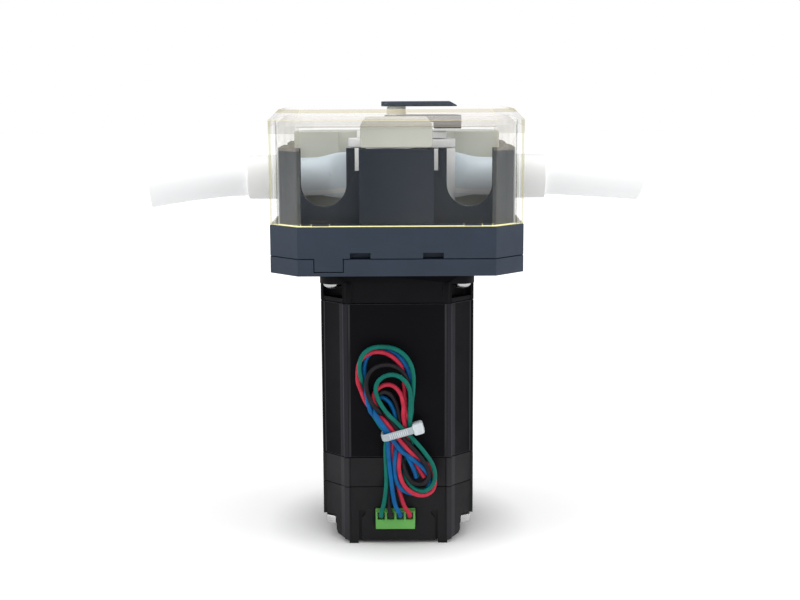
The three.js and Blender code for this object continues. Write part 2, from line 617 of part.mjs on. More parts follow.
function makeSleeve(side) {
  const innerFlange = [37.6, 39.6];
  const span = (x) => (side > 0 ? x : [-x[1], -x[0]]);
  let sleeve = alongX(SLEEVE_RADIUS, span([38, SLEEVE_END]), TUBE_EXIT_Y, TUBE_Z);
  sleeve = sleeve.add(alongX(SLEEVE_RADIUS + 1.3, span(innerFlange), TUBE_EXIT_Y, TUBE_Z));
  return sleeve.subtract(alongX(TUBE_RADIUS + GAP, span([30, 70]), TUBE_EXIT_Y, TUBE_Z));
}

// The light block that closes the middle of the front wall, with its upper edges cut.
function makeFrontBlock() {
  const [bottom, top, half] = [BODY_TOP + GAP, 158.2, 12.6];
  const front = polygon(mirrored([[half, bottom], [half, top - 2.6], [half - 1.8, top]]));
  const side = polygon([[-39.8, bottom], [-26.5, bottom], [-26.5, top], [-36.4, top], [-39.8, top - 3.4]]);
  return frontPrism(front, [-40, -26]).intersect(sidePrism(side, [-20, 20]));
}

addPiece('base_plate', makeBasePlate(), SLATE);
addPiece('pump_body', makePumpBody(), SLATE);
addPiece('tube_track', makeTrack(), BEIGE);
addPiece('front_block', makeFrontBlock(), BEIGE);
addPiece('clear_cover', makeCover(), {
  color: 0xf4f3e6, roughness: 0.08, metalness: 0, transparent: true, opacity: 0.25,
});
addPiece('pump_tube', makeTube(), { color: 0xe9ecec, roughness: 0.35, metalness: 0 });
addPiece('tube_sleeve_left', makeSleeve(-1), WHITE_PLASTIC);
addPiece('tube_sleeve_right', makeSleeve(1), WHITE_PLASTIC);

// ---- rotor with its three rollers ----
// Plate with one rounded lobe over each roller pin.
function lobedPlate(lobeRadius, armHalf, z) {
  let plate = upright(HUB_RADIUS + 3, z, 0, 0, 24);
  for (let index = 0; index < ROLLER_COUNT; index++) {
    const degrees = ROLLER_PHASE + index * 360 / ROLLER_COUNT;
    const [x, y] = onCircle(ROLLER_CIRCLE, degrees);
    const angle = degrees * Math.PI / 180;
    const [a, b] = [-Math.sin(angle) * armHalf, Math.cos(angle) * armHalf];
    const arm = polygon([[-a, -b], [x - a, y - b], [x + a, y + b], [a, b]]);
    plate = plate.add(prism(arm, z)).add(upright(lobeRadius, z, x, y, 28));
  }
  return plate;
}

function makeRollerPlate(z) {
  let plate = lobedPlate(ROLLER_RADIUS, ROLLER_RADIUS - 1.2, z);
  plate = plate.subtract(upright(HUB_RADIUS + GAP, [z[0] - 1, z[1] + 1], 0, 0, 24));
  for (let index = 0; index < ROLLER_COUNT; index++) {
    const [x, y] = onCircle(ROLLER_CIRCLE, ROLLER_PHASE + index * 360 / ROLLER_COUNT);
    plate = plate.subtract(upright(ROLLER_PIN_RADIUS + GAP, [z[0] - 1, z[1] + 1], x, y, 16));
  }
  return plate;
}

addPiece('head_bearing', ring(BEARING_RADIUS, HUB_RADIUS + GAP, HEAD_BEARING_Z), BEARING_STEEL);
addPiece('rotor_hub', ring(HUB_RADIUS, SHAFT_RADIUS + GAP, HUB_Z, 0, 0, 24), WHITE_PLASTIC);
addPiece('lower_roller_plate', makeRollerPlate(LOWER_PLATE), WHITE_PLASTIC);
addPiece('upper_roller_plate', makeRollerPlate(UPPER_PLATE), WHITE_PLASTIC);
addPiece('rotor_cap', lobedPlate(5, 3.8, ROTOR_CAP), WHITE_PLASTIC);
for (let index = 0; index < ROLLER_COUNT; index++) {
  const [x, y] = onCircle(ROLLER_CIRCLE, ROLLER_PHASE + index * 360 / ROLLER_COUNT);
  const roller = ring(ROLLER_RADIUS, ROLLER_PIN_RADIUS + GAP, ROLLER, x, y, 28);
  addPiece(`roller_${index + 1}`, roller, WHITE_PLASTIC);
  addPiece(`roller_pin_${index + 1}`, upright(ROLLER_PIN_RADIUS, ROLLER_PIN_Z, x, y, 16), STEEL);
}

// ---- latch in the cover ----
const DARK_LEVER = { color: 0x333b47, roughness: 0.5, metalness: 0 };

// Bar with a round end over the shaft axis and a cut far corner.
function barOutline(reach, halfWidth, cut) {
  const shape = new THREE.Shape();
  shape.moveTo(0, -halfWidth);
  shape.lineTo(reach - cut, -halfWidth);
  shape.lineTo(reach, -halfWidth + cut);
  shape.lineTo(reach, halfWidth - cut);
  shape.lineTo(reach - cut, halfWidth);
  shape.lineTo(0, halfWidth);
  shape.absarc(0, 0, halfWidth, Math.PI / 2, 1.5 * Math.PI);
  return shape;
}

function makeLever() {
  const [low, high] = LEVER_Z;
  const side = polygon([
    [-LEVER_WIDTH, low - 1], [LEVER_REACH + 1, low - 1], [LEVER_REACH + 1, low + 0.4],
    [LEVER_REACH, low + 0.4], [LEVER_REACH - LEVER_SLOPE, high], [-LEVER_WIDTH, high],
  ]);
  const bar = prism(barOutline(LEVER_REACH, LEVER_WIDTH / 2 + 1.2, 2), LEVER_Z, 10)
    .intersect(frontPrism(side, [-LEVER_WIDTH, LEVER_WIDTH]));
  return bar.subtract(upright(COVER_HOLE, [160, 170], 0, 0, 24));
}

function makeLatchArm() {
  let arm = prism(barOutline(LATCH_REACH, LEVER_WIDTH / 2, 1), LATCH_Z, 10);
  arm = arm.add(box([14, LATCH_REACH - 0.01], [-3.4, 3.4], [153.0, LATCH_Z[0] + 1]));
  return arm.add(upright(LATCH_PIN, [LATCH_Z[0] + 1, LEVER_Z[1] - 0.2], 0, 0, 24));
}

addPiece('latch_lever', makeLever(), DARK_LEVER);
addPiece('latch_arm', makeLatchArm(), DARK_LEVER);

// ---- motor leads: four short runs into one tied hank ----
const LEAD_LOOKS = [
  { color: 0x008060, roughness: 0.45, metalness: 0 }, { color: 0x35343a, roughness: 0.45, metalness: 0 },
  { color: 0x0a69af, roughness: 0.45, metalness: 0 }, { color: 0xd74055, roughness: 0.45, metalness: 0 },
];
const LEAD_NAMES = ['lead_green', 'lead_black', 'lead_blue', 'lead_red'];

function makeLead(index) {
  const x = pinPlace(index);
  const top = LEAD_TOPS[index];
  const middle = HANK_BACK - HANK_DEPTH / 2;
  const path = new THREE.CatmullRomCurve3([
    new THREE.Vector3(x, PLUG_FRONT + WELL.depth - GAP, 11.4),
    new THREE.Vector3(x, PLUG_FRONT - 0.6, 11.6),
    new THREE.Vector3(x, middle - 0.1, 12.9),
    new THREE.Vector3(x + (top - x) * 0.5, middle, 15.6),
    new THREE.Vector3(top, middle, HANK_BOTTOM - 1.6),
    new THREE.Vector3(top, middle, HANK_BOTTOM - GAP),
  ]);
  const section = new THREE.Shape();
  section.absarc(0, 0, LEAD_RADIUS, 0, 2 * Math.PI);
  const geometry = new THREE.ExtrudeGeometry(section, { steps: 14, curveSegments: 4, extrudePath: path });
  return solidOf(geometry);
}

// Outer shape of the tied bundle: an upper loop, a waist under the tie, a lower loop and the lead run.
function hankOutline() {
  const shape = new THREE.Shape();
  shape.moveTo(-7.4, HANK_BOTTOM);
  shape.lineTo(8.4, HANK_BOTTOM);
  shape.splineThru([
    [12.4, 20.8], [14.6, 25.0], [13.9, 30.0], [9.6, 37.0], [5.5, 42.8], [4.8, 46.8], [5.6, 55.5], [6.8, 64.0],
    [3.4, 72.5], [-4.5, 76.9], [-12.2, 74.0], [-15.4, 66.5], [-13.4, 56.0], [-8.4, 48.4], [-4.75, 44.0],
    [-4.0, 41.2], [-4.7, 37.5], [-6.8, 29.5],
  ].map(([a, b]) => new THREE.Vector2(a, b)));
  return shape;
}

// The tie lies across the waist, tilted with it. Its loop goes round the bundle, with its head at the right.
function makeTie() {
  const back = HANK_BACK + GAP;
  const front = HANK_BACK - HANK_DEPTH - GAP;
  const t = TIE_THICKNESS;
  const { half, width, middle } = TIE;
  let tie = box([-half - t, half + t], [front - t, back + t], [-width / 2, width / 2]);
  tie = tie.subtract(box([-half, half], [front, back], [-width, width]));
  const headY = [front - TIE_HEAD.front, back - TIE_HEAD.back];
  const head = box(TIE_HEAD.x, headY, [-TIE_HEAD.half, TIE_HEAD.half]);
  tie = tie.add(head.subtract(box([half - 1, half], [front, back], [-3, 3])));
  const tilt = new THREE.Matrix4().makeRotationY(-TIE_TILT);
  tilt.setPosition(middle[0], 0, middle[1]);
  return tie.transform(tilt.elements);
}

const hank = frontPrism(hankOutline(), [HANK_BACK - HANK_DEPTH, HANK_BACK], 3);
for (let index = 0; index < PIN_COUNT; index++) {
  addPiece(LEAD_NAMES[index], makeLead(index), LEAD_LOOKS[index]);
}
addPiece('lead_hank', hank, LEAD_LOOKS[0]);
addPiece('cable_tie', makeTie(), { color: 0xdfe6e8, roughness: 0.35, metalness: 0 });

export default group;
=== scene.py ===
"""Looks for the upright peristaltic pump: rounded shells, tube, tied leads, materials, light and camera."""
import json
import math

import bmesh
import bpy
import numpy as np
from mathutils import Matrix, Vector


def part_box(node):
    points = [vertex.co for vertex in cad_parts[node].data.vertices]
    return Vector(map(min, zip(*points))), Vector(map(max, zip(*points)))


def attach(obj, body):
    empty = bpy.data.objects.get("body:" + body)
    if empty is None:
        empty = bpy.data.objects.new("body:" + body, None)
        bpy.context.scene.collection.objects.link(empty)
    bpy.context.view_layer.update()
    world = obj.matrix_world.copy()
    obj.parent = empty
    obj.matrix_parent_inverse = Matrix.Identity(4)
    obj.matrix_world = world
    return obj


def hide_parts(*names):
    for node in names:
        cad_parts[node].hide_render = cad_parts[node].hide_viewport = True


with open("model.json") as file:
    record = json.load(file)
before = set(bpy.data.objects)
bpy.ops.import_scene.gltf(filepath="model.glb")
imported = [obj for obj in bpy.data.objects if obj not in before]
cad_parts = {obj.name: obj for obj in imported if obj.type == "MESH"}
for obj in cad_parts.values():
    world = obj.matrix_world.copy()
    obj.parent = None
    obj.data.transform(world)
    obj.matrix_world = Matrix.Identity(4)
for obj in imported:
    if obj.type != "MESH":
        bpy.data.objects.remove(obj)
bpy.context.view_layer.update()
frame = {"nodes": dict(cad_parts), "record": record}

# ---- driving dimensions, in millimetres in the part's frame ----
MM = 0.001
ROUND_SIDES = 72
SHARP_ANGLE = math.radians(35)           # edges sharper than this stay sharp when shaded
ROUNDED_ANGLE = math.radians(30)         # edges sharper than this are rounded
WELD = 0.004
FLAT_ANGLE = math.radians(0.6)
AXIS_RADIUS = 0.001                      # stands for nought where a turned profile meets its axis

TUBE_Z = 134.7
TUBE_EXIT_Y = 5.0
TUBE_RADIUS = 7.2
BORE_RADIUS = 4.8
TUBE_ARC_RADIUS = 25.0
TUBE_ARC_START = 147                     # degrees
TUBE_ARC_STEP = 9.5
TUBE_ARC_POINTS = 13
TUBE_STEP = 1.2
TUBE_SIDES = 56
TUBE_FLAT_HALF = 1.85
TUBE_FLAT_HALF_HEIGHT = 8.8
SQUEEZE_X = (21.5, 31.0)
SWELL_X = (62.0, 95.0)
SWELL = 0.09
BORE_SHARE = 0.215                       # how much of the route is open from each end
RIGHT_CUT_SLANT = 0.2
RIGHT_CUT_SHARE = (0.97, 1.0)            # the slant grows over this last share of the route
SLEEVE_CLEARANCE = 0.3
SLEEVE_RADIUS = 8.4
SLEEVE_FLANGE = 9.7
SLEEVE_END = 56.3
FLANGE_X = (37.6, 39.6)

ROLLER_COUNT = 3
ROLLER_CIRCLE = 14.5
ROLLER_RADIUS = 8.3
ROLLER_BORE = 2.2
ROLLER_PHASE = 15.0
ROLLER_Z = (121.0, 145.6)
SCREW_COUNT = 4
SCREW_HEAD_Z = (95.8, 97.8)
SCREW_HEAD_RADIUS = 3.4
SCREW_DOME = np.linspace(0.4, 1.57, 9)   # angles from the head's crown to its rim
SCREW_FLAT = (1.0, 0.02)                 # radius and how far up
SCREW_SHANK_RADIUS = 2.2
SCREW_POINT = 0.3

LEAD_DIAMETER = 1.65
LEAD_NAMES = ("green", "black", "blue", "red")
LEAD_CLEARANCE = 0.85
LEAD_RISE = ((-29.8, 11.4), (-31.6, 11.6), (-32.35, 12.9))   # (y, z) out of the plug
LEAD_SPACING = 1.68
ROUTE_STEP = 1.0
PIN_PITCH = 3.5
PLUG_X = -1.05
WELL_BACK = -29.4
WELL_Z = (10.1, 12.9)
CLAMP_HALF = 1.2
CLAMP_DEPTH = (-0.35, -0.05)
CLAMP_MARGIN = 0.15
HANK_BACK = -30.0
HANK_FRONT = -35.2
HANK_BOTTOM = 18.0
HANK_X = (-14.5, 13.85)
LEVEL_STEP = 1.7

# How the leads are eased apart.
SETTLE_ROUNDS = 160
LAST_ROUNDS = 12
SETTLE_PUSH = (0.45, 1.0, 0.45)
SETTLE_LARGEST = 0.6
SETTLE_SOFTNESS = (0.35, 0.12)           # at first, and in the last rounds
SETTLE_PULL = 0.05
SETTLE_PLAY = 0.02
HELD_POINTS = 4
OWN_NEIGHBOURS = 5
FAR_AWAY = 99.0

TIE_MIDDLE = (0.45, 44.1)
TIE_TILT = math.radians(16)
TIE_HALF = 5.5
TIE_WIDTH = 2.6
TIE_THICKNESS = 1.1
TIE_GAP = 0.3
TIE_PLAY = 0.05
TIE_GRIP = 2.4                           # half length of the stretch of lead that the tie holds
TIE_CORNERS = (2.4, 1.4)                 # outside and inside
TIE_CHAMFER = 0.25
TIE_GROOVE = 0.16
TOOTH_COUNT = 10
TOOTH_START = -3.5
TOOTH_PITCH = 0.72
TOOTH_LENGTH = 0.3
TOOTH_HALF = 0.85
TOOTH_DEPTH = 0.4
TIE_HEAD_X = (TIE_HALF - 0.2, TIE_HALF + 3.7)
TIE_HEAD_Z = (-2.3, 1.9)
TIE_HEAD_RECESS = (0.1, 2.3)             # behind the strap's front and in front of its back
TIE_WINDOW_MARGIN = 1.1
TIE_WINDOW_Z = (-1.2, 1.0)

PIN_REACH = 3.6
PIN_FOOT = 157.6
COVER_RIM = 120.5
COVER_BAND = 155.0
COVER_REAR = 30.0
LEVEL_NORMAL = 0.9                       # faces with a steeper normal count as level
SLOPING_NORMAL = 0.3
SIDE_NORMAL = 0.95
WALL_SLOT, EDGE_SLOT, BAND_SLOT, ROOF_SLOT, SIDE_SLOT = range(5)

# Where the cover's edges take their painted glow and painted highlights: (from, to).
RIM_FRONT_Y = (-33.0, -30.0)
RIM_GLOW_Z = (COVER_RIM + 0.5, COVER_RIM + 0.9)
ROOF_FRONT_Y = (-30.0, 0.0)
TOP_EDGE_Z = (COVER_BAND, COVER_BAND + 2)
UPRIGHT_X = (43.5, 44.5)
HAZE_FADE_Y = (-5.0, 12.0)              # the pale veneer, with its painted highlights and reflections, fades towards the back over this stretch
ZONE_SOFTNESS = 0.06

# Painted light on the clear cover: painted highlights, painted reflections and painted edge lines; axis,
# from, to, (red, green, blue), how much of the colour shows.
# The walls' painted edge lines along their top, where they meet the bevel band.
WALL_PAINTED_LIGHT = (
    ("Z", 155.2, 158.0, (200, 193, 184), 0.22),
    ("Z", 154.8, 155.2, (176, 170, 150), 0.4),
)
# A painted yellow edge line high on the bevel band.
BAND_PAINTED_LIGHT = (
    ("Z", 159.7, 162.0, (196, 184, 140), 0.55),
)
# On the chamfered sides: a painted hazy upper stretch, painted white highlight streaks, a painted dark
# reflection streak and a painted pale yellow outline.
SIDE_PAINTED_LIGHT = (
    ("Z", 146.6, 158.0, (190, 184, 170), 0.3),
    ("X", 42.6, 43.3, (205, 205, 198), 0.4),
    ("X", 41.5, 41.9, (235, 236, 232), 0.4),
    ("X", 42.05, 42.5, (70, 72, 72), 0.5),
    ("X", 43.3, 43.6, (250, 250, 244), 0.6),
    ("X", 44.1, 46.0, (190, 186, 140), 0.6),
)
# Painted light on other pieces: painted highlights beside the motor's corner grooves, painted shade on the
# head under the clear cover, a painted light band on the tube; axis, from, to, (red, green, blue).
MOTOR_PAINTED_HIGHLIGHTS = (
    ("X", 18.2, 21.2, (44, 43, 48)),
)
BODY_PAINTED_SHADE = (
    ("Z", 120.7, 170.0, (34, 41, 52)),
)
TUBE_PAINTED_LIGHT_BAND = (
    ("Z", 127.9, 129.8, (228, 229, 222)),
)

# ---- camera and studio: places in metres for the lamps, in millimetres for the camera ----
CAMERA_PLACE = (1.03, -497.1, 169.9)
CAMERA_PITCH = math.radians(9.406)
CAMERA_ROLL = math.radians(-0.27)
CAMERA_LENS = 58.95
SENSOR_WIDTH = 36.0
LAMP_TARGET = (0, 0, 0.09)
LAMPS = (
    ("top_box", (0.0, -0.1, 0.95), (0.9, 0.9), 4.2),
    ("left_box", (-0.85, -0.25, 0.45), (0.5, 0.9), 2.6),
    ("right_box", (0.85, -0.2, 0.45), (0.5, 0.9), 2.8),
    ("front_box", (0.0, -1.2, 0.65), (0.7, 0.5), 1.8),
)
WORLD_STRENGTH = (0.42, 1.0)             # for the light, and as seen by the camera
FLOOR_HALF = 4.0
FLOOR_GLOW = (0.17, 1.0)                 # for the light, and as seen by the camera
FLOOR_SHADOW_FADE = (0.028, 0.052)              # metres from the shaft over which the painted contact shadow fades out
FLOOR_SHADOW_FADE_SHARE = 0.3
FLOOR_FAR = (0.15, 0.9)
WHITE = (1, 1, 1, 1)


# ---- camera ----
def make_camera():
    data = bpy.data.cameras.new("camera")
    data.lens = CAMERA_LENS
    data.sensor_width = SENSOR_WIDTH
    data.clip_start = 0.01
    camera = bpy.data.objects.new("camera", data)
    bpy.context.scene.collection.objects.link(camera)
    look = Matrix.Rotation(math.pi / 2 - CAMERA_PITCH, 4, "X") @ Matrix.Rotation(CAMERA_ROLL, 4, "Z")
    camera.matrix_world = Matrix.Translation(Vector(CAMERA_PLACE) * MM) @ look
    bpy.context.scene.camera = camera


# ---- mesh helpers ----
def add_object(name, data):
    piece = bpy.data.objects.new(name, data)
    bpy.context.scene.collection.objects.link(piece)
    return piece


def mesh_object(name, points, faces, material):
    mesh = bpy.data.meshes.new(name)
    mesh.from_pydata([tuple(p) for p in points], [], faces)
    bm = bmesh.new()
    bm.from_mesh(mesh)
    bmesh.ops.recalc_face_normals(bm, faces=bm.faces)
    bm.to_mesh(mesh)
    bm.free()
    return add_object(name, shaded(mesh, material))


def shaded(mesh, material):
    """Gives the mesh its first material and smooth shading between its sharp edges."""
    mesh.materials.append(material)
    mesh.shade_smooth()
    mesh.set_sharp_from_angle(angle=SHARP_ANGLE)
    return mesh


def loft(name, rings, material, closed_loop=False):
    """Skin over rings of equally many points, with ends unless the rings run round a loop."""
    count = len(rings[0])
    points = [p for r in rings for p in r]
    faces = []
    pairs = len(rings) if closed_loop else len(rings) - 1
    for i in range(pairs):
        a, b = i * count, ((i + 1) % len(rings)) * count
        for j in range(count):
            k = (j + 1) % count
            faces.append((a + j, a + k, b + k, b + j))
    if not closed_loop:
        faces.append(tuple(range(count))[::-1])
        faces.append(tuple(range(len(points) - count, len(points))))
    return mesh_object(name, points, faces, material)


def lathe(name, profile, material, place, axis="Z", sides=ROUND_SIDES):
    """Solid of revolution. profile lists (radius, height) round a closed section, in millimetres."""
    rings = []
    for i in range(sides):
        angle = 2 * math.pi * i / sides
        c, s = math.cos(angle), math.sin(angle)
        if axis == "Z":
            rings.append([((place[0] + r * c) * MM, (place[1] + r * s) * MM, h * MM) for r, h in profile])
        else:
            rings.append([(h * MM, (place[0] + r * c) * MM, (place[1] + r * s) * MM) for r, h in profile])
    return loft(name, rings, material, closed_loop=True)


def rounded_profile(corners, radius, steps=4):
    """Closed section with each corner rounded."""
    out = []
    total = len(corners)
    for i, corner in enumerate(corners):
        here = np.array(corner, float)
        before = np.array(corners[i - 1], float) - here
        after = np.array(corners[(i + 1) % total], float) - here
        reach = min(radius, 0.45 * np.linalg.norm(before), 0.45 * np.linalg.norm(after))
        start = here + before / np.linalg.norm(before) * reach
        end = here + after / np.linalg.norm(after) * reach
        for step in range(steps + 1):
            t = step / steps
            out.append(tuple((1 - t) ** 2 * start + 2 * t * (1 - t) * here + t ** 2 * end))
    return out


def block(name, low, high, material, bevel, turn=None):
    """Box with rounded edges, in millimetres."""
    bm = bmesh.new()
    bmesh.ops.create_cube(bm, size=1)
    size = Vector(high) - Vector(low)
    middle = (Vector(high) + Vector(low)) / 2
    for vert in bm.verts:
        vert.co = Vector((vert.co.x * size.x, vert.co.y * size.y, vert.co.z * size.z)) + middle
    bmesh.ops.bevel(bm, geom=bm.edges[:], offset=bevel, segments=3, profile=0.5, affect="EDGES")
    if turn is not None:
        bmesh.ops.transform(bm, matrix=turn, verts=bm.verts)
    bmesh.ops.scale(bm, vec=(MM, MM, MM), verts=bm.verts)
    mesh = bpy.data.meshes.new(name)
    bm.to_mesh(mesh)
    bm.free()
    return add_object(name, shaded(mesh, material))


def refine(node, material, bevel=0.4, segments=3):
    """A finer stand-in for a CAD node: welded, its flat faces joined, its edges rounded."""
    source = frame["nodes"][node]
    bm = bmesh.new()
    bm.from_mesh(source.data)
    bmesh.ops.remove_doubles(bm, verts=bm.verts, dist=WELD * MM)
    bmesh.ops.dissolve_limit(bm, angle_limit=FLAT_ANGLE, verts=bm.verts, edges=bm.edges)
    mesh = bpy.data.meshes.new(node + "_shell")
    bm.to_mesh(mesh)
    bm.free()
    mesh.materials.append(material)
    mesh.shade_smooth()
    piece = add_object(node + "_shell", mesh)
    rounding = piece.modifiers.new("rounding", "BEVEL")
    rounding.width = bevel * MM
    rounding.segments = segments
    rounding.limit_method = "ANGLE"
    rounding.angle_limit = ROUNDED_ANGLE
    rounding.miter_outer = "MITER_ARC"
    rounding.harden_normals = True
    stand_for(piece, node)
    return piece


def stand_for(piece, node):
    """piece takes a CAD node's body and is shown in its place, the node hidden."""
    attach(piece, body_of(node))
    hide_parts(node)


def trim(piece, node):
    """A small added piece rides with a CAD node's body."""
    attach(piece, body_of(node))


def body_of(node):
    bodies = frame["record"]["behaviour"]["bodies"]
    return next(body for body, members in bodies.items() if node in members)


# ---- smooth routes ----
def smooth_route(points, step):
    """Centripetal Catmull-Rom curve through the points, resampled evenly."""
    p = np.array(points, float)
    p = np.vstack([2 * p[0] - p[1], p, 2 * p[-1] - p[-2]])
    line = []
    for i in range(len(p) - 3):
        a, b, c, d = p[i:i + 4]
        t0 = 0.0
        t1 = t0 + np.linalg.norm(b - a) ** 0.5
        t2 = t1 + np.linalg.norm(c - b) ** 0.5
        t3 = t2 + np.linalg.norm(d - c) ** 0.5
        t = np.linspace(t1, t2, 16, endpoint=False)[:, None]
        a1 = (t1 - t) / (t1 - t0) * a + (t - t0) / (t1 - t0) * b
        a2 = (t2 - t) / (t2 - t1) * b + (t - t1) / (t2 - t1) * c
        a3 = (t3 - t) / (t3 - t2) * c + (t - t2) / (t3 - t2) * d
        b1 = (t2 - t) / (t2 - t0) * a1 + (t - t0) / (t2 - t0) * a2
        b2 = (t3 - t) / (t3 - t1) * a2 + (t - t1) / (t3 - t1) * a3
        line.append((t2 - t) / (t2 - t1) * b1 + (t - t1) / (t2 - t1) * b2)
    line = np.vstack(line + [p[-2:-1]])
    return resample(line, step)


def resample(line, step):
    run = np.concatenate([[0], np.cumsum(np.linalg.norm(np.diff(line, axis=0), axis=1))])
    count = max(2, int(round(run[-1] / step)) + 1)
    at = np.linspace(0, run[-1], count)
    return np.stack([np.interp(at, run, line[:, k]) for k in range(3)], axis=1)


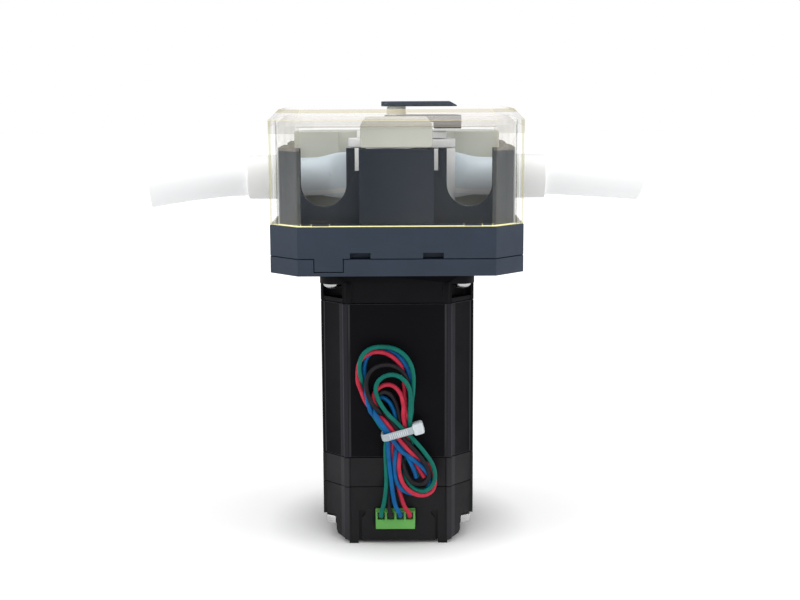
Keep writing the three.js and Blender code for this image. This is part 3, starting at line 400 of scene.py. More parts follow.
# ---- leads ----
# Each stretch lists (x, z, level) in millimetres; level 0 lies against the motor and 2 in front.
LEAD_ROUTES = {
    "green": {
        "rise": [(-5.6, 15.1, 1.2), (-4.7, 19.9, 1.5), (-4.2, 25.4, 1.0), (-4.4, 31.7, 0.6),
                 (-4.6, 35.8, 0.3), (-5.2, 43.0, 0), (-7.1, 47.0, 0), (-9.3, 51.1, 0), (-10.7, 54.8, 0),
                 (-12.5, 61.5, 0.2)],
        "outer_loop": [(-13.4, 64.3, 0.7), (-14.0, 67.5, 1), (-13.7, 71.0, 1.2), (-11.9, 74.2, 1.2),
                       (-9.4, 75.7, 1.2), (-5.5, 76.0, 1.2), (-1.1, 75.4, 1.2), (2.2, 73.4, 1.2),
                       (4.7, 70.0, 1.2), (5.8, 66.1, 1.2), (5.8, 61.8, 1.1), (5.3, 57.4, 1),
                       (4.9, 53.1, 0.8), (4.7, 48.5, 0.3), (4.7, 45.5, 0)],
        "lower_loop": [(3.8, 40.9, 0), (2.5, 35.1, 0), (2.0, 31.5, 0.4), (2.1, 28.5, 0.8), (3.0, 25.7, 1),
                       (4.8, 23.1, 1.2), (7.1, 21.6, 1.3), (9.7, 21.3, 1.5), (12.0, 22.9, 1.6),
                       (13.6, 25.7, 1.6), (13.7, 28.7, 1.7), (12.8, 32.2, 1.8), (10.5, 35.7, 2),
                       (8.1, 38.9, 2)],
        "inner_loop": [(3.2, 44.4, 2), (0.7, 46.7, 2), (-1.8, 49.3, 2), (-4.0, 51.6, 2), (-6.2, 54.8, 2),
                       (-7.7, 57.9, 2), (-8.3, 60.8, 2), (-7.5, 63.3, 2), (-5.3, 65.3, 1.9),
                       (-2.5, 66.1, 1.9), (0.3, 65.7, 1.9), (2.3, 64.2, 1.9), (4.0, 62.0, 2),
                       (4.8, 59.0, 2), (4.7, 55.0, 2), (4.4, 50.5, 1.6), (4.2, 46.5, 1)],
        "loose_end": [(3.8, 43.2, 1), (4.3, 38.6, 0.7), (5.1, 34.2, 0.4), (6.4, 30.4, 0.3),
                      (7.5, 26.9, 0.3)],
    },
    "black": {
        "rise": [(-3.4, 14.9, 1.2), (-3.5, 18.6, 1.1), (-3.3, 22.5, 0.6), (-3.2, 25.0, 0.2),
                 (-3.2, 30.3, 0), (-3.0, 35.6, 0), (-2.8, 40.1, 0), (-2.9, 42.9, 0), (-4.0, 46.3, 0.3),
                 (-5.7, 49.6, 1), (-8.2, 52.9, 1.2), (-10.4, 56.2, 1.2), (-11.3, 59.9, 1.2)],
        "outer_loop": [(-11.6, 63.1, 1.3), (-10.6, 66.1, 1.1), (-8.1, 68.5, 1), (-4.7, 69.4, 1),
                       (-1.7, 69.1, 1), (0.8, 67.9, 1), (2.9, 65.4, 0.9), (4.1, 62.4, 0.6),
                       (4.3, 58.8, 0.2), (3.8, 54.7, 0), (3.0, 50.7, 0), (2.0, 47.0, 0)],
        "lower_loop": [(1.6, 41.5, 0), (1.4, 38.4, 0.2), (1.5, 35.1, 0.6), (2.0, 31.8, 0.9),
                       (3.0, 28.1, 1.1), (4.5, 25.4, 1.2), (6.8, 24.2, 1.3), (9.4, 24.3, 1.4),
                       (11.2, 25.9, 1.5), (11.7, 28.6, 1.6), (10.6, 31.8, 1.8), (8.1, 35.1, 2),
                       (5.1, 38.5, 2)],
        "inner_loop": [(1.0, 44.4, 2), (-0.9, 46.7, 1.9), (-2.9, 48.9, 1.6), (-5.1, 51.0, 1.2),
                       (-7.0, 53.8, 1), (-8.2, 56.5, 0.7), (-7.6, 58.5, 0.6), (-5.6, 59.5, 0.6),
                       (-3.4, 59.1, 0.7), (-1.6, 57.4, 0.8), (-0.4, 54.6, 0.9), (0.5, 50.9, 1),
                       (0.9, 47.4, 1)],
        "loose_end": [(2.1, 43.2, 1), (2.8, 38.5, 0.6), (4.0, 33.5, 0), (5.1, 29.7, 0), (5.7, 27.0, 0)],
    },
    "blue": {
        "rise": [(-0.8, 15.0, 1.2), (-1.9, 20.0, 1.7), (-2.4, 25.1, 1.5), (-3.0, 30.8, 1.1),
                 (-3.5, 36.1, 1), (-3.6, 40.6, 1), (-4.2, 43.4, 1), (-5.4, 46.0, 1), (-7.6, 49.8, 1),
                 (-9.6, 52.9, 0.9), (-10.8, 55.6, 0.5), (-11.4, 58.3, 0.2)],
        "outer_loop": [(-11.9, 61.7, 0), (-12.3, 65.1, 0), (-12.2, 68.6, 0.2), (-11.5, 71.5, 0.4),
                       (-9.7, 73.5, 0.5), (-6.9, 74.7, 0.5), (-3.9, 74.7, 0.5), (-0.8, 73.5, 0.5),
                       (1.4, 71.5, 0.5), (3.1, 69.0, 0.5), (4.0, 66.3, 0.3), (4.7, 62.8, 0.1),
                       (5.0, 59.3, 0), (4.8, 55.3, 0), (3.8, 51.9, 0), (1.9, 48.7, 0), (0.4, 46.1, 0)],
        "lower_loop": [(-0.2, 41.6, 0.2), (-0.5, 37.9, 0.8), (-1.1, 34.0, 1), (-1.3, 29.8, 1.1),
                       (-0.9, 25.8, 1.1), (0.5, 23.0, 1), (2.7, 21.0, 0.6), (5.5, 20.1, 0.3),
                       (8.4, 20.1, 0.2), (10.7, 21.5, 0.2), (12.0, 23.8, 0.5), (12.0, 26.4, 0.9),
                       (10.7, 28.8, 1.4), (7.9, 32.3, 2), (5.0, 34.4, 2), (2.5, 36.6, 2),
                       (-0.1, 39.0, 2)],
        "inner_loop": [(-3.5, 44.4, 2), (-5.1, 46.8, 2), (-7.1, 49.5, 1.6), (-8.7, 52.4, 1),
                       (-9.4, 54.7, 0.4), (-8.7, 56.6, 0.2), (-6.8, 57.3, 0.5), (-4.8, 56.9, 0.7),
                       (-3.1, 55.6, 0.9), (-1.8, 53.2, 1), (-0.9, 50.6, 1), (-0.5, 48.3, 1)],
        "loose_end": [(0.5, 43.3, 1), (1.0, 40.3, 1), (2.5, 37.4, 1), (4.0, 34.7, 1), (5.3, 31.8, 1),
                      (6.2, 29.4, 1), (6.8, 26.8, 1.2)],
    },
    "red": {
        "rise": [(2.4, 15.0, 1.2), (0.9, 19.8, 1.3), (-0.1, 23.2, 0.8), (-1.2, 27.7, 0.2),
                 (-1.8, 33.0, 0.1), (-2.1, 37.1, 0.4), (-1.6, 40.1, 0.2), (-1.6, 43.2, 0.2),
                 (-3.8, 46.3, 0.7), (-6.3, 49.3, 0.6), (-9.0, 52.6, 0.3), (-11.1, 55.1, 0.8)],
        "outer_loop": [(-12.9, 58.4, 1), (-14.1, 62.7, 1), (-14.5, 66.1, 0.9), (-14.4, 68.7, 0.5),
                       (-13.6, 70.9, 0.2), (-12.2, 72.3, 0.2), (-10.2, 73.7, 0.9), (-7.4, 74.2, 1.2),
                       (-4.1, 73.7, 1.2), (-1.6, 72.1, 1.2), (0.6, 70.0, 1), (1.9, 67.8, 0.6),
                       (2.2, 64.0, 0.2), (2.6, 60.0, 0.2), (2.9, 55.6, 0), (2.7, 51.3, 0),
                       (3.3, 47.0, 0)],
        "lower_loop": [(2.8, 41.5, 0), (1.2, 37.8, 0.6), (0.4, 34.8, 1), (0.2, 30.9, 1.2),
                       (0.8, 26.9, 1.3), (2.3, 23.5, 1.4), (4.8, 21.2, 1.4), (8.1, 19.9, 1.3),
                       (11.2, 20.2, 1.1), (13.2, 21.9, 0.8), (13.8, 24.3, 0.5), (13.4, 27.8, 0.5),
                       (12.0, 30.7, 1), (9.7, 32.5, 1.6), (7.1, 34.8, 2), (4.3, 37.4, 2), (2.0, 39.6, 2)],
        "inner_loop": [(-1.4, 44.4, 2), (-3.2, 46.7, 2), (-5.1, 48.8, 1.5), (-7.3, 51.8, 1),
                       (-8.7, 54.9, 0.8), (-9.0, 57.7, 0.8), (-7.8, 60.1, 1), (-5.6, 61.9, 1.2),
                       (-3.1, 62.3, 1.2), (-0.9, 61.5, 1.2), (0.8, 59.5, 1.2), (1.9, 56.7, 1.2),
                       (2.4, 53.3, 1.3), (2.4, 49.5, 1.2), (2.5, 46.6, 1)],
        "loose_end": [(2.6, 43.2, 1), (3.3, 40.1, 1), (4.3, 36.1, 1), (6.3, 32.0, 0.9), (8.4, 28.8, 0.9),
                      (9.7, 26.9, 1)],
    },
}


def pin_x(index):
    return PLUG_X + (index - 1.5) * PIN_PITCH


def first_route(index, name):
    points = [(pin_x(index), y, z) for y, z in LEAD_RISE]
    for stretch in LEAD_ROUTES[name].values():
        points += [(x, HANK_BACK - LEAD_CLEARANCE - LEVEL_STEP * level, z) for x, z, level in stretch]
    return smooth_route(points, ROUTE_STEP)


def settle(routes):
    """Moves leads that share a place apart, mostly in depth, and keeps each one smooth."""
    lengths = [len(r) for r in routes]
    start = np.vstack(routes)
    place = start.copy()
    owner = np.repeat(np.arange(len(routes)), lengths)
    order = np.concatenate([np.arange(n) for n in lengths])
    same_lead = owner[:, None] == owner[None, :]
    near_self = same_lead & (np.abs(order[:, None] - order[None, :]) < OWN_NEIGHBOURS)
    first = order < HELD_POINTS
    ends = np.zeros(len(place), bool)
    ends[np.cumsum(lengths) - 1] = True
    inner = ~(first | ends)
    free_low = HANK_FRONT + LEAD_DIAMETER / 2 + SETTLE_PLAY
    free_high = HANK_BACK - LEAD_DIAMETER / 2 - SETTLE_PLAY
    in_hank = start[:, 2] > HANK_BOTTOM
    for turn in range(SETTLE_ROUNDS):
        fresh = place + spread(place, near_self) * np.array(SETTLE_PUSH)
        middle = fresh.copy()
        middle[1:-1] = (fresh[:-2] + fresh[2:]) / 2
        softness = SETTLE_SOFTNESS[0] if turn < SETTLE_ROUNDS - LAST_ROUNDS else SETTLE_SOFTNESS[1]
        fresh[inner] += softness * (middle[inner] - fresh[inner])
        pull = start - fresh
        pull[:, 1] = 0
        fresh[inner] += SETTLE_PULL * pull[inner]
        fresh[first] = start[first]
        fresh[in_hank, 1] = np.clip(fresh[in_hank, 1], free_low, free_high)
        fresh[:, 0] = np.clip(fresh[:, 0], *HANK_X)
        place = hold_in_tie(fresh)
    return np.split(place, np.cumsum(lengths)[:-1])


def spread(place, near_self):
    """The step that takes each point away from the points of other stretches that are too close."""
    gap = place[:, None, :] - place[None, :, :]
    reach = np.linalg.norm(gap, axis=2)
    reach[near_self] = FAR_AWAY
    deep = np.clip(LEAD_SPACING - reach, 0, None)
    away = gap / np.maximum(reach, 1e-6)[:, :, None]
    move = (away * deep[:, :, None]).sum(axis=1) * 0.5
    size = np.linalg.norm(move, axis=1, keepdims=True)
    return move * np.minimum(1.0, SETTLE_LARGEST / np.maximum(size, 1e-9))


def hold_in_tie(place):
    """Keeps the leads inside the tie's loop where they pass through it."""
    c, s = math.cos(TIE_TILT), math.sin(TIE_TILT)
    dx, dz = place[:, 0] - TIE_MIDDLE[0], place[:, 2] - TIE_MIDDLE[1]
    along, across = dx * c + dz * s, -dx * s + dz * c
    room = TIE_HALF - LEAD_DIAMETER / 2 - TIE_PLAY
    held = np.where(np.abs(across) < TIE_GRIP, np.clip(along, -room, room), along)
    place[:, 0] = TIE_MIDDLE[0] + held * c - across * s
    place[:, 2] = TIE_MIDDLE[1] + held * s + across * c
    return place


def make_leads():
    routes = settle([first_route(i, name) for i, name in enumerate(LEAD_NAMES)])
    for index, (name, route) in enumerate(zip(LEAD_NAMES, routes)):
        line = smooth_route(route, ROUTE_STEP)
        piece = make_cord(f"motor_lead_{name}", line, sheath(name))
        stand_for(piece, f"lead_{name}")
        if index == 0:
            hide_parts("lead_hank")


def make_cord(name, line, material):
    data = bpy.data.curves.new(name, "CURVE")
    data.dimensions = "3D"
    data.bevel_depth = LEAD_DIAMETER / 2 * MM
    data.bevel_resolution = 4
    data.use_fill_caps = True
    spline = data.splines.new("POLY")
    spline.points.add(len(line) - 1)
    for point, place in zip(spline.points, line):
        point.co = (*(place * MM), 1)
    spline.use_smooth = True
    data.materials.append(material)
    return add_object(name, data)


# ---- materials ----
def srgb(red, green, blue):
    """A screen colour, 0 to 255, as linear light."""
    def linear(value):
        value /= 255
        return value / 12.92 if value <= 0.04045 else ((value + 0.055) / 1.055) ** 2.4
    return (linear(red), linear(green), linear(blue), 1.0)


def noise(tree, scale, detail, stretch=None):
    """Cloudy values around a half, finer with scale; stretch squashes them along each axis."""
    coordinates = tree.nodes.new("ShaderNodeTexCoord")
    mapping = tree.nodes.new("ShaderNodeMapping")
    if stretch:
        mapping.inputs["Scale"].default_value = stretch
    texture = tree.nodes.new("ShaderNodeTexNoise")
    texture.inputs["Scale"].default_value = scale
    texture.inputs["Detail"].default_value = detail
    tree.links.new(coordinates.outputs["Object"], mapping.inputs["Vector"])
    tree.links.new(mapping.outputs["Vector"], texture.inputs["Vector"])
    return texture.outputs["Fac"]


def remap(tree, value, low, high, start=0.3, end=0.7):
    """Takes start..end to low..high and holds the ends; the defaults suit cloudy values."""
    node = tree.nodes.new("ShaderNodeMapRange")
    node.inputs["From Min"].default_value = start
    node.inputs["From Max"].default_value = end
    node.inputs["To Min"].default_value = low
    node.inputs["To Max"].default_value = high
    tree.links.new(value, node.inputs["Value"])
    return node.outputs["Result"]


def blend_colours(tree, share, first, second):
    """Goes from the first colour to the second with share; a colour is four numbers or a socket."""
    node = tree.nodes.new("ShaderNodeMix")
    node.data_type = "RGBA"
    tree.links.new(share, node.inputs["Factor"])
    for socket, colour in (("A", first), ("B", second)):
        target = next(i for i in node.inputs if i.name == socket and i.type == "RGBA")
        if isinstance(colour, tuple):
            target.default_value = colour
        else:
            tree.links.new(colour, target)
    return next(o for o in node.outputs if o.type == "RGBA")


def bump(tree, shader, height, strength, distance):
    """Raises the surface by height; distance is in millimetres."""
    node = tree.nodes.new("ShaderNodeBump")
    node.inputs["Strength"].default_value = strength
    node.inputs["Distance"].default_value = distance * MM
    tree.links.new(height, node.inputs["Height"])
    tree.links.new(node.outputs["Normal"], shader.inputs["Normal"])


def calculate(tree, operation, first, second=None):
    """One arithmetic step; each value is a plain number or a socket."""
    node = tree.nodes.new("ShaderNodeMath")
    node.operation = operation
    for socket, value in zip(node.inputs, (first, second)):
        if isinstance(value, float):
            socket.default_value = value
        elif value is not None:
            tree.links.new(value, socket)
    return node.outputs["Value"]


def new_material(name):
    material = bpy.data.materials.new(name)
    material.use_nodes = True
    return material, material.node_tree, material.node_tree.nodes["Principled BSDF"]


def moulded(name, colour, lighter, roughness=(0.42, 0.56), grain=2600, strength=0.12, specular=0.4, painted_light=()):
    """Moulded plastic: fine eroded texture, faint clouds of colour, uneven gloss, and any painted light given
    blended in.
    """
    material, tree, shader = new_material(name)
    shade = remap(tree, noise(tree, 45, 4), 0, 1)
    base = add_painted_light(tree, blend_colours(tree, shade, colour, lighter), painted_light)
    tree.links.new(base, shader.inputs["Base Color"])
    tree.links.new(remap(tree, noise(tree, 160, 5), *roughness), shader.inputs["Roughness"])
    bump(tree, shader, noise(tree, grain, 2), strength, 0.06)
    shader.inputs["Specular IOR Level"].default_value = specular
    return material


def painted_metal(name, colour, lighter, lines=0.0, specular=0.35, painted_light=()):
    """Satin paint with orange peel, and with the edges of stacked sheets showing through if lines is set; any
    painted light given is blended in.
    """
    material, tree, shader = new_material(name)
    shade = remap(tree, noise(tree, 30, 5), 0, 1)
    base = add_painted_light(tree, blend_colours(tree, shade, colour, lighter), painted_light)
    tree.links.new(base, shader.inputs["Base Color"])
    tree.links.new(remap(tree, noise(tree, 90, 6), 0.38, 0.55), shader.inputs["Roughness"])
    height = noise(tree, 1300, 3)
    if lines:
        sheets = calculate(tree, "MULTIPLY", noise(tree, 1.0, 0, stretch=(6, 6, 2000)), lines)
        height = calculate(tree, "ADD", sheets, height)
    bump(tree, shader, height, 0.22, 0.05)
    shader.inputs["Specular IOR Level"].default_value = specular
    return material


def steel(name, colour=(0.62, 0.62, 0.63, 1), roughness=(0.2, 0.36), turned=(1, 1, 14)):
    """Bare metal with faint turning marks along the axis that turned squashes most."""
    material, tree, shader = new_material(name)
    darker = tuple(0.82 * c for c in colour[:3]) + (1,)
    tree.links.new(blend_colours(tree, noise(tree, 60, 4), colour, darker), shader.inputs["Base Color"])
    shader.inputs["Metallic"].default_value = 1.0
    tree.links.new(remap(tree, noise(tree, 240, 3, turned), *roughness), shader.inputs["Roughness"])
    bump(tree, shader, noise(tree, 700, 2, turned), 0.08, 0.03)
    return material


SHEATH_COLOURS = {
    "green": (srgb(0, 98, 86), srgb(0, 116, 102)),
    "black": (srgb(24, 22, 26), srgb(36, 33, 38)),
    "blue": (srgb(0, 80, 138), srgb(0, 104, 168)),
    "red": (srgb(180, 34, 60), srgb(204, 56, 78)),
}


def sheath(name):
    """Extruded wire sheath: glossy, with slow waves along its length."""
    dark, light = SHEATH_COLOURS[name]
    material, tree, shader = new_material(f"sheath_{name}")
    shade = remap(tree, noise(tree, 260, 3), 0, 1)
    tree.links.new(blend_colours(tree, shade, dark, light), shader.inputs["Base Color"])
    tree.links.new(remap(tree, noise(tree, 700, 3), 0.32, 0.46), shader.inputs["Roughness"])
    shader.inputs["Specular IOR Level"].default_value = 0.2
    bump(tree, shader, noise(tree, 900, 2), 0.12, 0.05)
    return material


def nylon_material(name, dark, light):
    """Natural nylon: a little light passes into it."""
    material, tree, shader = new_material(name)
    tree.links.new(blend_colours(tree, noise(tree, 300, 3), dark, light), shader.inputs["Base Color"])
    tree.links.new(remap(tree, noise(tree, 500, 3), 0.3, 0.42), shader.inputs["Roughness"])
    shader.inputs["Subsurface Weight"].default_value = 0.25
    shader.inputs["Subsurface Radius"].default_value = (0.002, 0.002, 0.002)
    bump(tree, shader, noise(tree, 1600, 2), 0.1, 0.04)
    return material


def silicone_material(name, dark, light, glow, painted_light=()):
    """Milky tube: light passes into it, and a faint painted glow runs along it; any painted light given is
    blended in.
    """
    material, tree, shader = new_material(name)
    shade = remap(tree, noise(tree, 30, 2, (0.25, 1, 1)), 0, 1)
    paint = add_painted_light(tree, blend_colours(tree, shade, dark, light), painted_light)
    tree.links.new(paint, shader.inputs["Base Color"])
    tree.links.new(remap(tree, noise(tree, 120, 3), 0.26, 0.36), shader.inputs["Roughness"])
    shader.inputs["Subsurface Weight"].default_value = 0.3
    shader.inputs["Subsurface Radius"].default_value = (0.003, 0.003, 0.0032)
    shader.inputs["Emission Color"].default_value = WHITE
    shader.inputs["Emission Strength"].default_value = glow
    bump(tree, shader, noise(tree, 160, 2, (0.2, 1, 1)), 0.06, 0.06)
    return material


def clear_material(name, colour, opacity, roughness=(0.03, 0.09), painted_light=()):
    """Clear moulded plastic: pale gloss over transparency, cloudier in places, with painted highlights,
    painted reflections and painted edge lines in the stretches given.
    """
    material, tree, shader = new_material(name)
    shader.inputs["Specular IOR Level"].default_value = 0.7
    tree.links.new(remap(tree, noise(tree, 70, 5), *roughness), shader.inputs["Roughness"])
    bump(tree, shader, noise(tree, 40, 2), 0.04, 0.2)
    share = remap(tree, noise(tree, 28, 4, (1, 1, 0.3)), *opacity)
    darker = tuple(0.97 * c for c in colour[:3]) + (1,)
    paint = blend_colours(tree, noise(tree, 40, 2), colour, darker)
    for axis, low, high, light_colour, strength in painted_light:
        inside = zone(tree, place_on(tree, axis), low * MM, high * MM)
        paint = blend_colours(tree, inside, paint, srgb(*light_colour))
        share = calculate(tree, "MAXIMUM", share, calculate(tree, "MULTIPLY", inside, strength))
    tree.links.new(paint, shader.inputs["Base Color"])
    # The veneer and the painted light in it fade towards the back.
    front = over_stretch(tree, "Y", 1.0, 0.15, HAZE_FADE_Y)
    see_through(tree, shader, calculate(tree, "MULTIPLY", share, front))
    return material


def place_on(tree, axis, mirrored=True):
    """The surface point's place along one axis, or its distance from the origin there if mirrored."""
    coordinates = tree.nodes.new("ShaderNodeTexCoord")
    split = tree.nodes.new("ShaderNodeSeparateXYZ")
    tree.links.new(coordinates.outputs["Object"], split.inputs["Vector"])
    return calculate(tree, "ABSOLUTE", split.outputs[axis]) if mirrored else split.outputs[axis]


def over_stretch(tree, axis, low, high, stretch, mirrored=False):
    """Goes from low to high over a stretch of one axis, in millimetres."""
    return remap(tree, place_on(tree, axis, mirrored), low, high, stretch[0] * MM, stretch[1] * MM)


def add_painted_light(tree, paint, painted_light):
    """Blends the colour of each stretch of painted light into the paint."""
    for axis, low, high, light_colour in painted_light:
        inside = zone(tree, place_on(tree, axis), low * MM, high * MM)
        paint = blend_colours(tree, inside, paint, srgb(*light_colour))
    return paint


def zone(tree, value, low, high):
    """One between low and high, nought outside, with soft ends."""
    soft = ZONE_SOFTNESS * MM
    rising = remap(tree, value, 0.0, 1.0, low - soft, low + soft)
    falling = remap(tree, value, 1.0, 0.0, high - soft, high + soft)
    return calculate(tree, "MULTIPLY", rising, falling)


def see_through(tree, shader, share):
    """Mixes the shader over plain transparency; share is how much of it shows."""
    clear = tree.nodes.new("ShaderNodeBsdfTransparent")
    mix = tree.nodes.new("ShaderNodeMixShader")
    tree.links.new(share, mix.inputs["Fac"])
    tree.links.new(clear.outputs["BSDF"], mix.inputs[1])
    tree.links.new(shader.outputs["BSDF"], mix.inputs[2])
    tree.links.new(mix.outputs["Shader"], tree.nodes["Material Output"].inputs["Surface"])


def edge_material():
    """Edges of the clear plastic: pale yellow, with a painted glow at the front of the rim, painted
    highlights along the top edges and faint ones on the uprights.
    """
    material, tree, shader = new_material("clear_edge_highlight")
    front = over_stretch(tree, "Y", 1.0, 0.25, RIM_FRONT_Y)
    rim = over_stretch(tree, "Z", 1.0, 0.0, RIM_GLOW_Z)
    glow = calculate(tree, "MULTIPLY", rim, front)
    roof_front = over_stretch(tree, "Y", 1.0, 0.1, ROOF_FRONT_Y)
    top = calculate(tree, "MULTIPLY", over_stretch(tree, "Z", 0.0, 0.7, TOP_EDGE_Z), roof_front)
    sides = over_stretch(tree, "X", 0.0, 0.4, UPRIGHT_X, mirrored=True)
    colour = blend_colours(tree, noise(tree, 120, 3), srgb(232, 224, 160), srgb(242, 236, 184))
    tree.links.new(colour, shader.inputs["Base Color"])
    tree.links.new(colour, shader.inputs["Emission Color"])
    shader.inputs["Roughness"].default_value = 0.3
    tree.links.new(calculate(tree, "MULTIPLY", glow, 0.6), shader.inputs["Emission Strength"])
    share = calculate(tree, "MAXIMUM", calculate(tree, "MAXIMUM", glow, top), sides)
    see_through(tree, shader, calculate(tree, "MAXIMUM", share, 0.12))
    return material


# ---- motor ----
def make_motor():
    # The paints and the rear cover's plastic carry painted highlights on the facets beside the corner
    # grooves.
    paint = painted_metal("black_paint", srgb(7, 7, 11), srgb(12, 12, 17), specular=0.12)
    stack = painted_metal("black_stack", srgb(5, 5, 10), srgb(10, 10, 15), 0.5, 0.1, painted_light=MOTOR_PAINTED_HIGHLIGHTS)
    grey = painted_metal("rear_paint", srgb(18, 18, 21), srgb(25, 25, 29), specular=0.25, painted_light=MOTOR_PAINTED_HIGHLIGHTS)
    plastic = moulded("black_plastic", srgb(12, 12, 15), srgb(19, 19, 23), grain=1900, strength=0.2,
                      specular=0.25, painted_light=MOTOR_PAINTED_HIGHLIGHTS)
    # The rounded edges of the motor's shells take a lighter paint: a painted highlight.
    edge_highlight = painted_metal("painted_edge_highlight", srgb(34, 34, 40), srgb(44, 44, 50), specular=0.35)
    for node, material, bevel in (("front_bell", paint, 0.35), ("stator_stack", stack, 0.45),
                                  ("rear_bell", grey, 0.45), ("rear_cover", plastic, 0.45)):
        paint_edge_highlight(refine(node, material, bevel), edge_highlight)
    bright = steel("bright_steel")
    for number in range(1, SCREW_COUNT + 1):
        make_screw(number, bright)
        refine(f"rear_bolt_{number}", bright, 0.25, 2)
    for node in ("motor_shaft", "rear_bearing", "front_bearing", "head_bearing", "motor_rotor"):
        coat(node, bright)
    coat("stator_windings", steel("winding_copper", (0.55, 0.24, 0.1, 1), (0.3, 0.45), (1, 1, 40)))


def paint_edge_highlight(piece, material):
    """The rounded edges take a lighter material: a painted highlight."""
    piece.data.materials.append(material)
    piece.modifiers["rounding"].material = len(piece.data.materials) - 1


def coat(node, material):
    """A CAD node that stays hidden or nearly so keeps its mesh and takes the material."""
    for item in frame["nodes"][node].material_slots:
        item.material = material


def make_screw(number, material):
    node = f"head_screw_{number}"
    box_low, box_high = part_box(node)
    place = ((box_low.x + box_high.x) / 2 / MM, (box_low.y + box_high.y) / 2 / MM)
    top = box_high.z / MM
    low, high = SCREW_HEAD_Z
    head, shank = SCREW_HEAD_RADIUS, SCREW_SHANK_RADIUS
    profile = [(AXIS_RADIUS, low), (SCREW_FLAT[0], low + SCREW_FLAT[1])]
    profile += [(head * math.sin(a), high - (high - low) * math.cos(a)) for a in SCREW_DOME]
    profile += [(head, high), (shank, high), (shank, top - SCREW_POINT), (shank - SCREW_POINT, top)]
    profile += [(AXIS_RADIUS, top)]
    stand_for(lathe(f"{node}_turned", profile, material, place, sides=48), node)


# ---- terminal ----
def make_terminal():
    plastic = moulded("terminal_plastic", srgb(92, 166, 76), srgb(108, 182, 90), (0.34, 0.46), 2200, 0.1)
    refine("terminal_socket", plastic, 0.2, 2)
    refine("terminal_plug", plastic, 0.22, 2)
    refine("terminal_board", moulded("board", srgb(20, 84, 46), srgb(26, 98, 54)), 0.1, 1)
    dull = steel("clamp_steel", (0.1, 0.1, 0.1, 1), (0.4, 0.55))
    for index in range(len(LEAD_NAMES)):
        make_clamp(index, dull)


def make_clamp(index, material):
    """A wire clamp on the back of one of the plug's wells."""
    low = (pin_x(index) - CLAMP_HALF, WELL_BACK + CLAMP_DEPTH[0], WELL_Z[0] + CLAMP_MARGIN)
    high = (pin_x(index) + CLAMP_HALF, WELL_BACK + CLAMP_DEPTH[1], WELL_Z[1] - CLAMP_MARGIN)
    clamp = block(f"wire_clamp_{index + 1}", low, high, material, 0.1)
    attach(clamp, body_of("terminal_plug"))


# ---- cable tie ----
def make_tie():
    nylon = nylon_material("nylon", srgb(208, 216, 222), srgb(232, 238, 241))
    # The strap takes a darker copy of the nylon: painted shade between the teeth.
    strap_shade = nylon_material("nylon_painted_shade", srgb(172, 182, 188), srgb(188, 197, 203))
    turn = Matrix.Translation((TIE_MIDDLE[0], 0, TIE_MIDDLE[1])) @ Matrix.Rotation(-TIE_TILT, 4, "Y")
    front = HANK_FRONT - TIE_GAP - TIE_THICKNESS
    back = HANK_BACK + TIE_GAP + TIE_THICKNESS
    strap = make_strap(front, back, strap_shade, turn)
    stand_for(strap, "cable_tie")
    for index in range(TOOTH_COUNT):
        x = TOOTH_START + index * TOOTH_PITCH
        tooth = block(f"tie_tooth_{index + 1}", (x, front, -TOOTH_HALF),
                      (x + TOOTH_LENGTH, front + TOOTH_DEPTH, TOOTH_HALF), nylon, 0.07, turn)
        tooth.parent = strap
    (left, right), (low, high) = TIE_HEAD_X, TIE_HEAD_Z
    head = block("cable_tie_head", (left, front + TIE_HEAD_RECESS[0], low),
                 (right, back - TIE_HEAD_RECESS[1], high), nylon, 0.8, turn)
    trim(head, "cable_tie")
    window = block("cable_tie_window", (left + TIE_WINDOW_MARGIN, front, TIE_WINDOW_Z[0]),
                   (right - TIE_WINDOW_MARGIN, front + TOOTH_DEPTH, TIE_WINDOW_Z[1]), nylon, 0.12, turn)
    trim(window, "cable_tie")


def make_strap(front, back, material, turn):
    """The loop round the leads: a flat band with broken edges, its front set back behind the teeth."""
    side = TIE_HALF + TIE_THICKNESS
    face = front + TIE_GROOVE
    outer = rectangle(-side, side, face, back, TIE_CORNERS[0])
    inner = rectangle(-side + TIE_THICKNESS, side - TIE_THICKNESS,
                      front + TIE_THICKNESS, back - TIE_THICKNESS, TIE_CORNERS[1])
    half = TIE_WIDTH / 2
    edge = half - TIE_CHAMFER
    rings = []
    for outside, inside in zip(outer, inner):
        section = [(*inside, -edge), (*inside, edge)]
        section += [(*between(inside, outside, share), half) for share in (0.25, 0.75)]
        section += [(*outside, edge), (*outside, -edge)]
        section += [(*between(inside, outside, share), -half) for share in (0.75, 0.25)]
        rings.append([turn @ Vector(p) * MM for p in section])
    return loft("cable_tie_strap", rings, material, closed_loop=True)


def rectangle(left, right, front, back, corner):
    return rounded_profile([(left, front), (right, front), (right, back), (left, back)], corner, 8)


def between(first, second, share):
    return tuple(a + (b - a) * share for a, b in zip(first, second))


# ---- pump head ----
def make_head():
    # The slate is darker above the cover's rim: painted shade on the part under the clear cover.
    slate = moulded("slate_plastic", srgb(46, 56, 70), srgb(52, 63, 78), specular=0.25, painted_light=BODY_PAINTED_SHADE)
    beige = moulded("beige_plastic", srgb(192, 193, 182), srgb(202, 203, 192), (0.4, 0.52))
    white = moulded("white_plastic", srgb(248, 248, 246), srgb(252, 252, 251), (0.3, 0.42))
    refine("base_plate", slate, 0.45)
    refine("pump_body", slate, 0.4)
    refine("tube_track", beige, 0.35)
    refine("front_block", beige, 0.9, 4)
    refine("rotor_hub", white, 0.3, 2)
    for node in ("lower_roller_plate", "upper_roller_plate", "rotor_cap"):
        refine(node, white, 0.4)
    make_rollers(white)
    make_sleeves(white)
    make_latch()


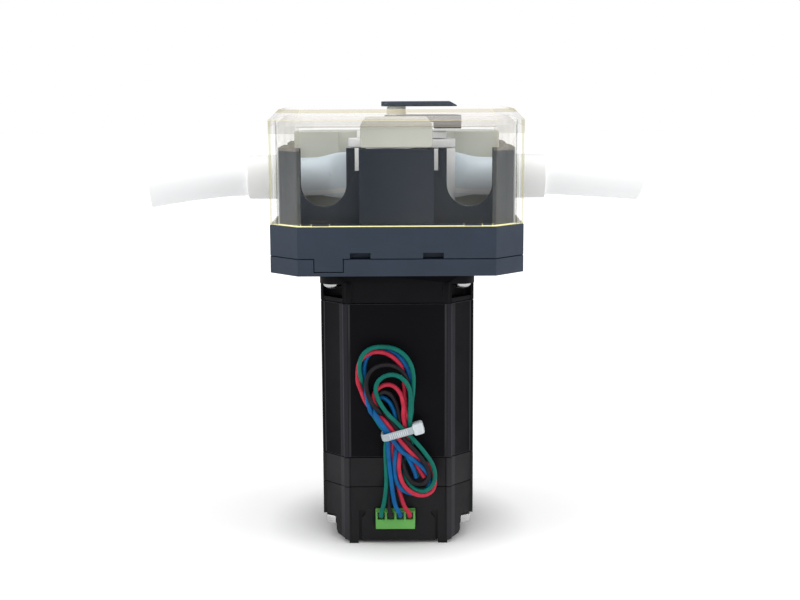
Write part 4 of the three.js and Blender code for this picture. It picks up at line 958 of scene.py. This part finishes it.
def make_rollers(white):
    pin = steel("pin_steel")
    low, high = ROLLER_Z
    for index in range(ROLLER_COUNT):
        angle = math.radians(ROLLER_PHASE + index * 360 / ROLLER_COUNT)
        place = (ROLLER_CIRCLE * math.cos(angle), ROLLER_CIRCLE * math.sin(angle))
        corners = [(ROLLER_BORE, low), (ROLLER_RADIUS, low), (ROLLER_RADIUS, high), (ROLLER_BORE, high)]
        profile = rounded_profile(corners, 0.6)
        roller = lathe(f"roller_{index + 1}_turned", profile, white, place, sides=96)
        stand_for(roller, f"roller_{index + 1}")
        refine(f"roller_pin_{index + 1}", pin, 0.25, 2)


def make_sleeves(white):
    inner = TUBE_RADIUS + SLEEVE_CLEARANCE
    flange_start, flange_end = FLANGE_X
    corners = [(inner, flange_start), (SLEEVE_FLANGE, flange_start), (SLEEVE_FLANGE, flange_end),
               (SLEEVE_RADIUS, flange_end), (SLEEVE_RADIUS, SLEEVE_END), (inner, SLEEVE_END)]
    for side, node in ((-1, "tube_sleeve_left"), (1, "tube_sleeve_right")):
        profile = [(r, side * x) for r, x in rounded_profile(corners, 0.4)]
        sleeve = lathe(f"{node}_turned", profile, white, (TUBE_EXIT_Y, TUBE_Z), axis="X")
        stand_for(sleeve, node)


def make_latch():
    """The lever and its arm are dark; the pin between them is pale."""
    dark = moulded("lever_plastic", srgb(62, 70, 82), srgb(70, 79, 92))
    refine("latch_lever", dark, 0.35)
    arm = refine("latch_arm", dark, 0.35)
    arm.data.materials.append(moulded("pin_plastic", srgb(236, 234, 226), srgb(244, 242, 236)))
    for face in arm.data.polygons:
        middle = face.center / MM
        if math.hypot(middle.x, middle.y) < PIN_REACH and middle.z > PIN_FOOT:
            face.material_index = 1


def make_cover():
    """The cover's walls and roof stay nearly clear; its bevel band and chamfered sides take a paler veneer, a
    painted reflection, and its edges painted highlights.
    """
    wall = clear_material("clear_wall", srgb(240, 242, 238), (0.0, 0.015), painted_light=WALL_PAINTED_LIGHT)
    edge = edge_material()
    band = clear_material("clear_band_reflection", srgb(226, 220, 217), (0.26, 0.34), (0.12, 0.25), BAND_PAINTED_LIGHT)
    roof = clear_material("clear_roof", srgb(240, 241, 236), (0.0, 0.01))
    side = clear_material("clear_side_reflection", srgb(226, 228, 226), (0.06, 0.11), painted_light=SIDE_PAINTED_LIGHT)
    cover = refine("clear_cover", wall, 0.45, 3)
    for material in (edge, band, roof, side):
        cover.data.materials.append(material)
    # The rounded edges take the edge material with its painted highlights.
    cover.modifiers["rounding"].material = EDGE_SLOT
    for face in cover.data.polygons:
        face.material_index = cover_slot(face.normal, face.center / MM)


def cover_slot(normal, middle):
    """Which of the cover's materials a face takes: by its slope and its place, so the sloping faces take the
    painted reflection.
    """
    if abs(normal.z) > LEVEL_NORMAL:
        return EDGE_SLOT if middle.z < COVER_RIM + 1 else ROOF_SLOT
    if abs(normal.z) > SLOPING_NORMAL and middle.z > COVER_BAND:
        return BAND_SLOT if middle.y < COVER_REAR else ROOF_SLOT
    return SIDE_SLOT if SLOPING_NORMAL < abs(normal.x) < SIDE_NORMAL else WALL_SLOT


# ---- tube ----
def tube_points():
    """The route from the left cut end through both sleeves to the right one."""
    inward = [(x, TUBE_EXIT_Y) for x in (SLEEVE_END, 50, 44)] + [(38.5, 5.04), (33, 6.1), (28, 9.2)]
    left = [(-93.7, -2.3, 131.55), (-84, -0.4, 132.9), (-72, 2.2, 134.0), (-62, 4.2, 134.6)]
    left += [(-x, y, TUBE_Z) for x, y in inward]
    right = [(x, y, TUBE_Z) for x, y in reversed(inward)]
    right += [(x, TUBE_EXIT_Y, z) for x, z in ((62, 134.6), (72, 134.0), (84, 133.2), (93.5, 132.5))]
    arc = []
    for step in range(TUBE_ARC_POINTS):
        angle = math.radians(TUBE_ARC_START - TUBE_ARC_STEP * step)
        arc.append((TUBE_ARC_RADIUS * math.cos(angle), TUBE_ARC_RADIUS * math.sin(angle), TUBE_Z))
    return left + arc + right


def ease(value, low, high):
    """Rises smoothly from nought at low to one at high."""
    t = min(1.0, max(0.0, (value - low) / (high - low)))
    return t * t * (3 - 2 * t)


def tube_ring(line, index, radius):
    """The tube's outline at one point of its route: round outside, flattened under the rollers."""
    here = line[index]
    along_route = line[min(index + 1, len(line) - 1)] - line[max(index - 1, 0)]
    along_route = along_route / np.linalg.norm(along_route)
    across = np.cross((0, 0, 1), along_route)
    across /= np.linalg.norm(across)
    lift = np.cross(along_route, across)
    squeeze = 1 - ease(abs(here[0]), *SQUEEZE_X)
    swell = 1 + SWELL * ease(-here[0], *SWELL_X)
    wide = radius + (TUBE_FLAT_HALF - TUBE_RADIUS) * squeeze
    high = (radius + (TUBE_FLAT_HALF_HEIGHT - TUBE_RADIUS) * squeeze) * swell
    slant = RIGHT_CUT_SLANT * ease(index / (len(line) - 1), *RIGHT_CUT_SHARE)
    ring = []
    for k in range(TUBE_SIDES):
        angle = 2 * math.pi * k / TUBE_SIDES
        a, b = wide * math.cos(angle), high * math.sin(angle)
        ring.append((here + across * a + lift * b + along_route * slant * b) * MM)
    return ring


def make_tube():
    """One skin: out of the left bore, along the outside and into the right bore."""
    line = smooth_route(tube_points(), TUBE_STEP)
    last = len(line) - 1
    bore_end = int(BORE_SHARE * last)
    rings = [tube_ring(line, i, BORE_RADIUS) for i in range(bore_end, -1, -1)]
    rings += [tube_ring(line, i, TUBE_RADIUS) for i in range(last + 1)]
    rings += [tube_ring(line, i, BORE_RADIUS) for i in range(last, last - bore_end - 1, -1)]
    # Both copies glow faintly: painted glow. Faces inside the head take the shaded copy: painted shade, with
    # a painted light band low along it.
    outer = silicone_material("silicone_lit", srgb(248, 250, 251), srgb(252, 253, 254), 0.12)
    inner = silicone_material("silicone_shaded", srgb(192, 206, 214), srgb(204, 216, 223), 0.1, TUBE_PAINTED_LIGHT_BAND)
    tube = loft("pump_tube_smooth", rings, outer)
    tube.data.materials.append(inner)
    for face in tube.data.polygons:
        face.material_index = 1 if abs(face.center.x) < FLANGE_X[0] * MM else 0
    stand_for(tube, "pump_tube")


# ---- light and floor ----
def area_light(name, place, size, power):
    data = bpy.data.lights.new(name, "AREA")
    data.shape = "RECTANGLE"
    data.size, data.size_y = size
    data.energy = power
    light = add_object(name, data)
    light.location = place
    direction = Vector(LAMP_TARGET) - Vector(place)
    light.rotation_euler = direction.to_track_quat("-Z", "Y").to_euler()


def for_camera(tree, others, camera):
    """One value for the rays that light the scene and another for what the camera sees."""
    rays = tree.nodes.new("ShaderNodeLightPath")
    return remap(tree, rays.outputs["Is Camera Ray"], others, camera, 0.0, 1.0)


def make_studio():
    for name, place, size, power in LAMPS:
        area_light(name, place, size, power)
    world = bpy.data.worlds.new("studio")
    bpy.context.scene.world = world
    world.use_nodes = True
    tree = world.node_tree
    backdrop = tree.nodes["Background"]
    tree.links.new(for_camera(tree, *WORLD_STRENGTH), backdrop.inputs["Strength"])
    backdrop.inputs["Color"].default_value = WHITE
    make_floor()
    bpy.context.scene.view_settings.view_transform = "Standard"


def make_floor():
    """Pale floor with a painted contact shadow: its glow is held down close to the pump, and it is bright
    farther out.
    """
    material, tree, shader = new_material("floor")
    paint = blend_colours(tree, noise(tree, 3, 2), (0.93, 0.93, 0.93, 1), (0.95, 0.95, 0.95, 1))
    tree.links.new(paint, shader.inputs["Base Color"])
    shader.inputs["Roughness"].default_value = 0.6
    coordinates = tree.nodes.new("ShaderNodeTexCoord")
    reach = tree.nodes.new("ShaderNodeVectorMath")
    reach.operation = "LENGTH"
    tree.links.new(coordinates.outputs["Object"], reach.inputs[0])
    # The glow falls to nought close to the pump: a painted contact shadow.
    contact_shadow_fade = remap(tree, reach.outputs["Value"], 0.0, FLOOR_SHADOW_FADE_SHARE, *FLOOR_SHADOW_FADE)
    far = remap(tree, reach.outputs["Value"], 0.0, 1.0, *FLOOR_FAR)
    glow = calculate(tree, "MULTIPLY", for_camera(tree, *FLOOR_GLOW), calculate(tree, "MAXIMUM", contact_shadow_fade, far))
    shader.inputs["Emission Color"].default_value = WHITE
    tree.links.new(glow, shader.inputs["Emission Strength"])
    corners = [(-FLOOR_HALF, -FLOOR_HALF, 0), (FLOOR_HALF, -FLOOR_HALF, 0),
               (FLOOR_HALF, FLOOR_HALF, 0), (-FLOOR_HALF, FLOOR_HALF, 0)]
    floor = mesh_object("floor", corners, [(0, 1, 2, 3)], material)


make_camera()
make_terminal()
make_tie()
make_leads()
make_motor()
make_head()
make_tube()
make_cover()
make_studio()
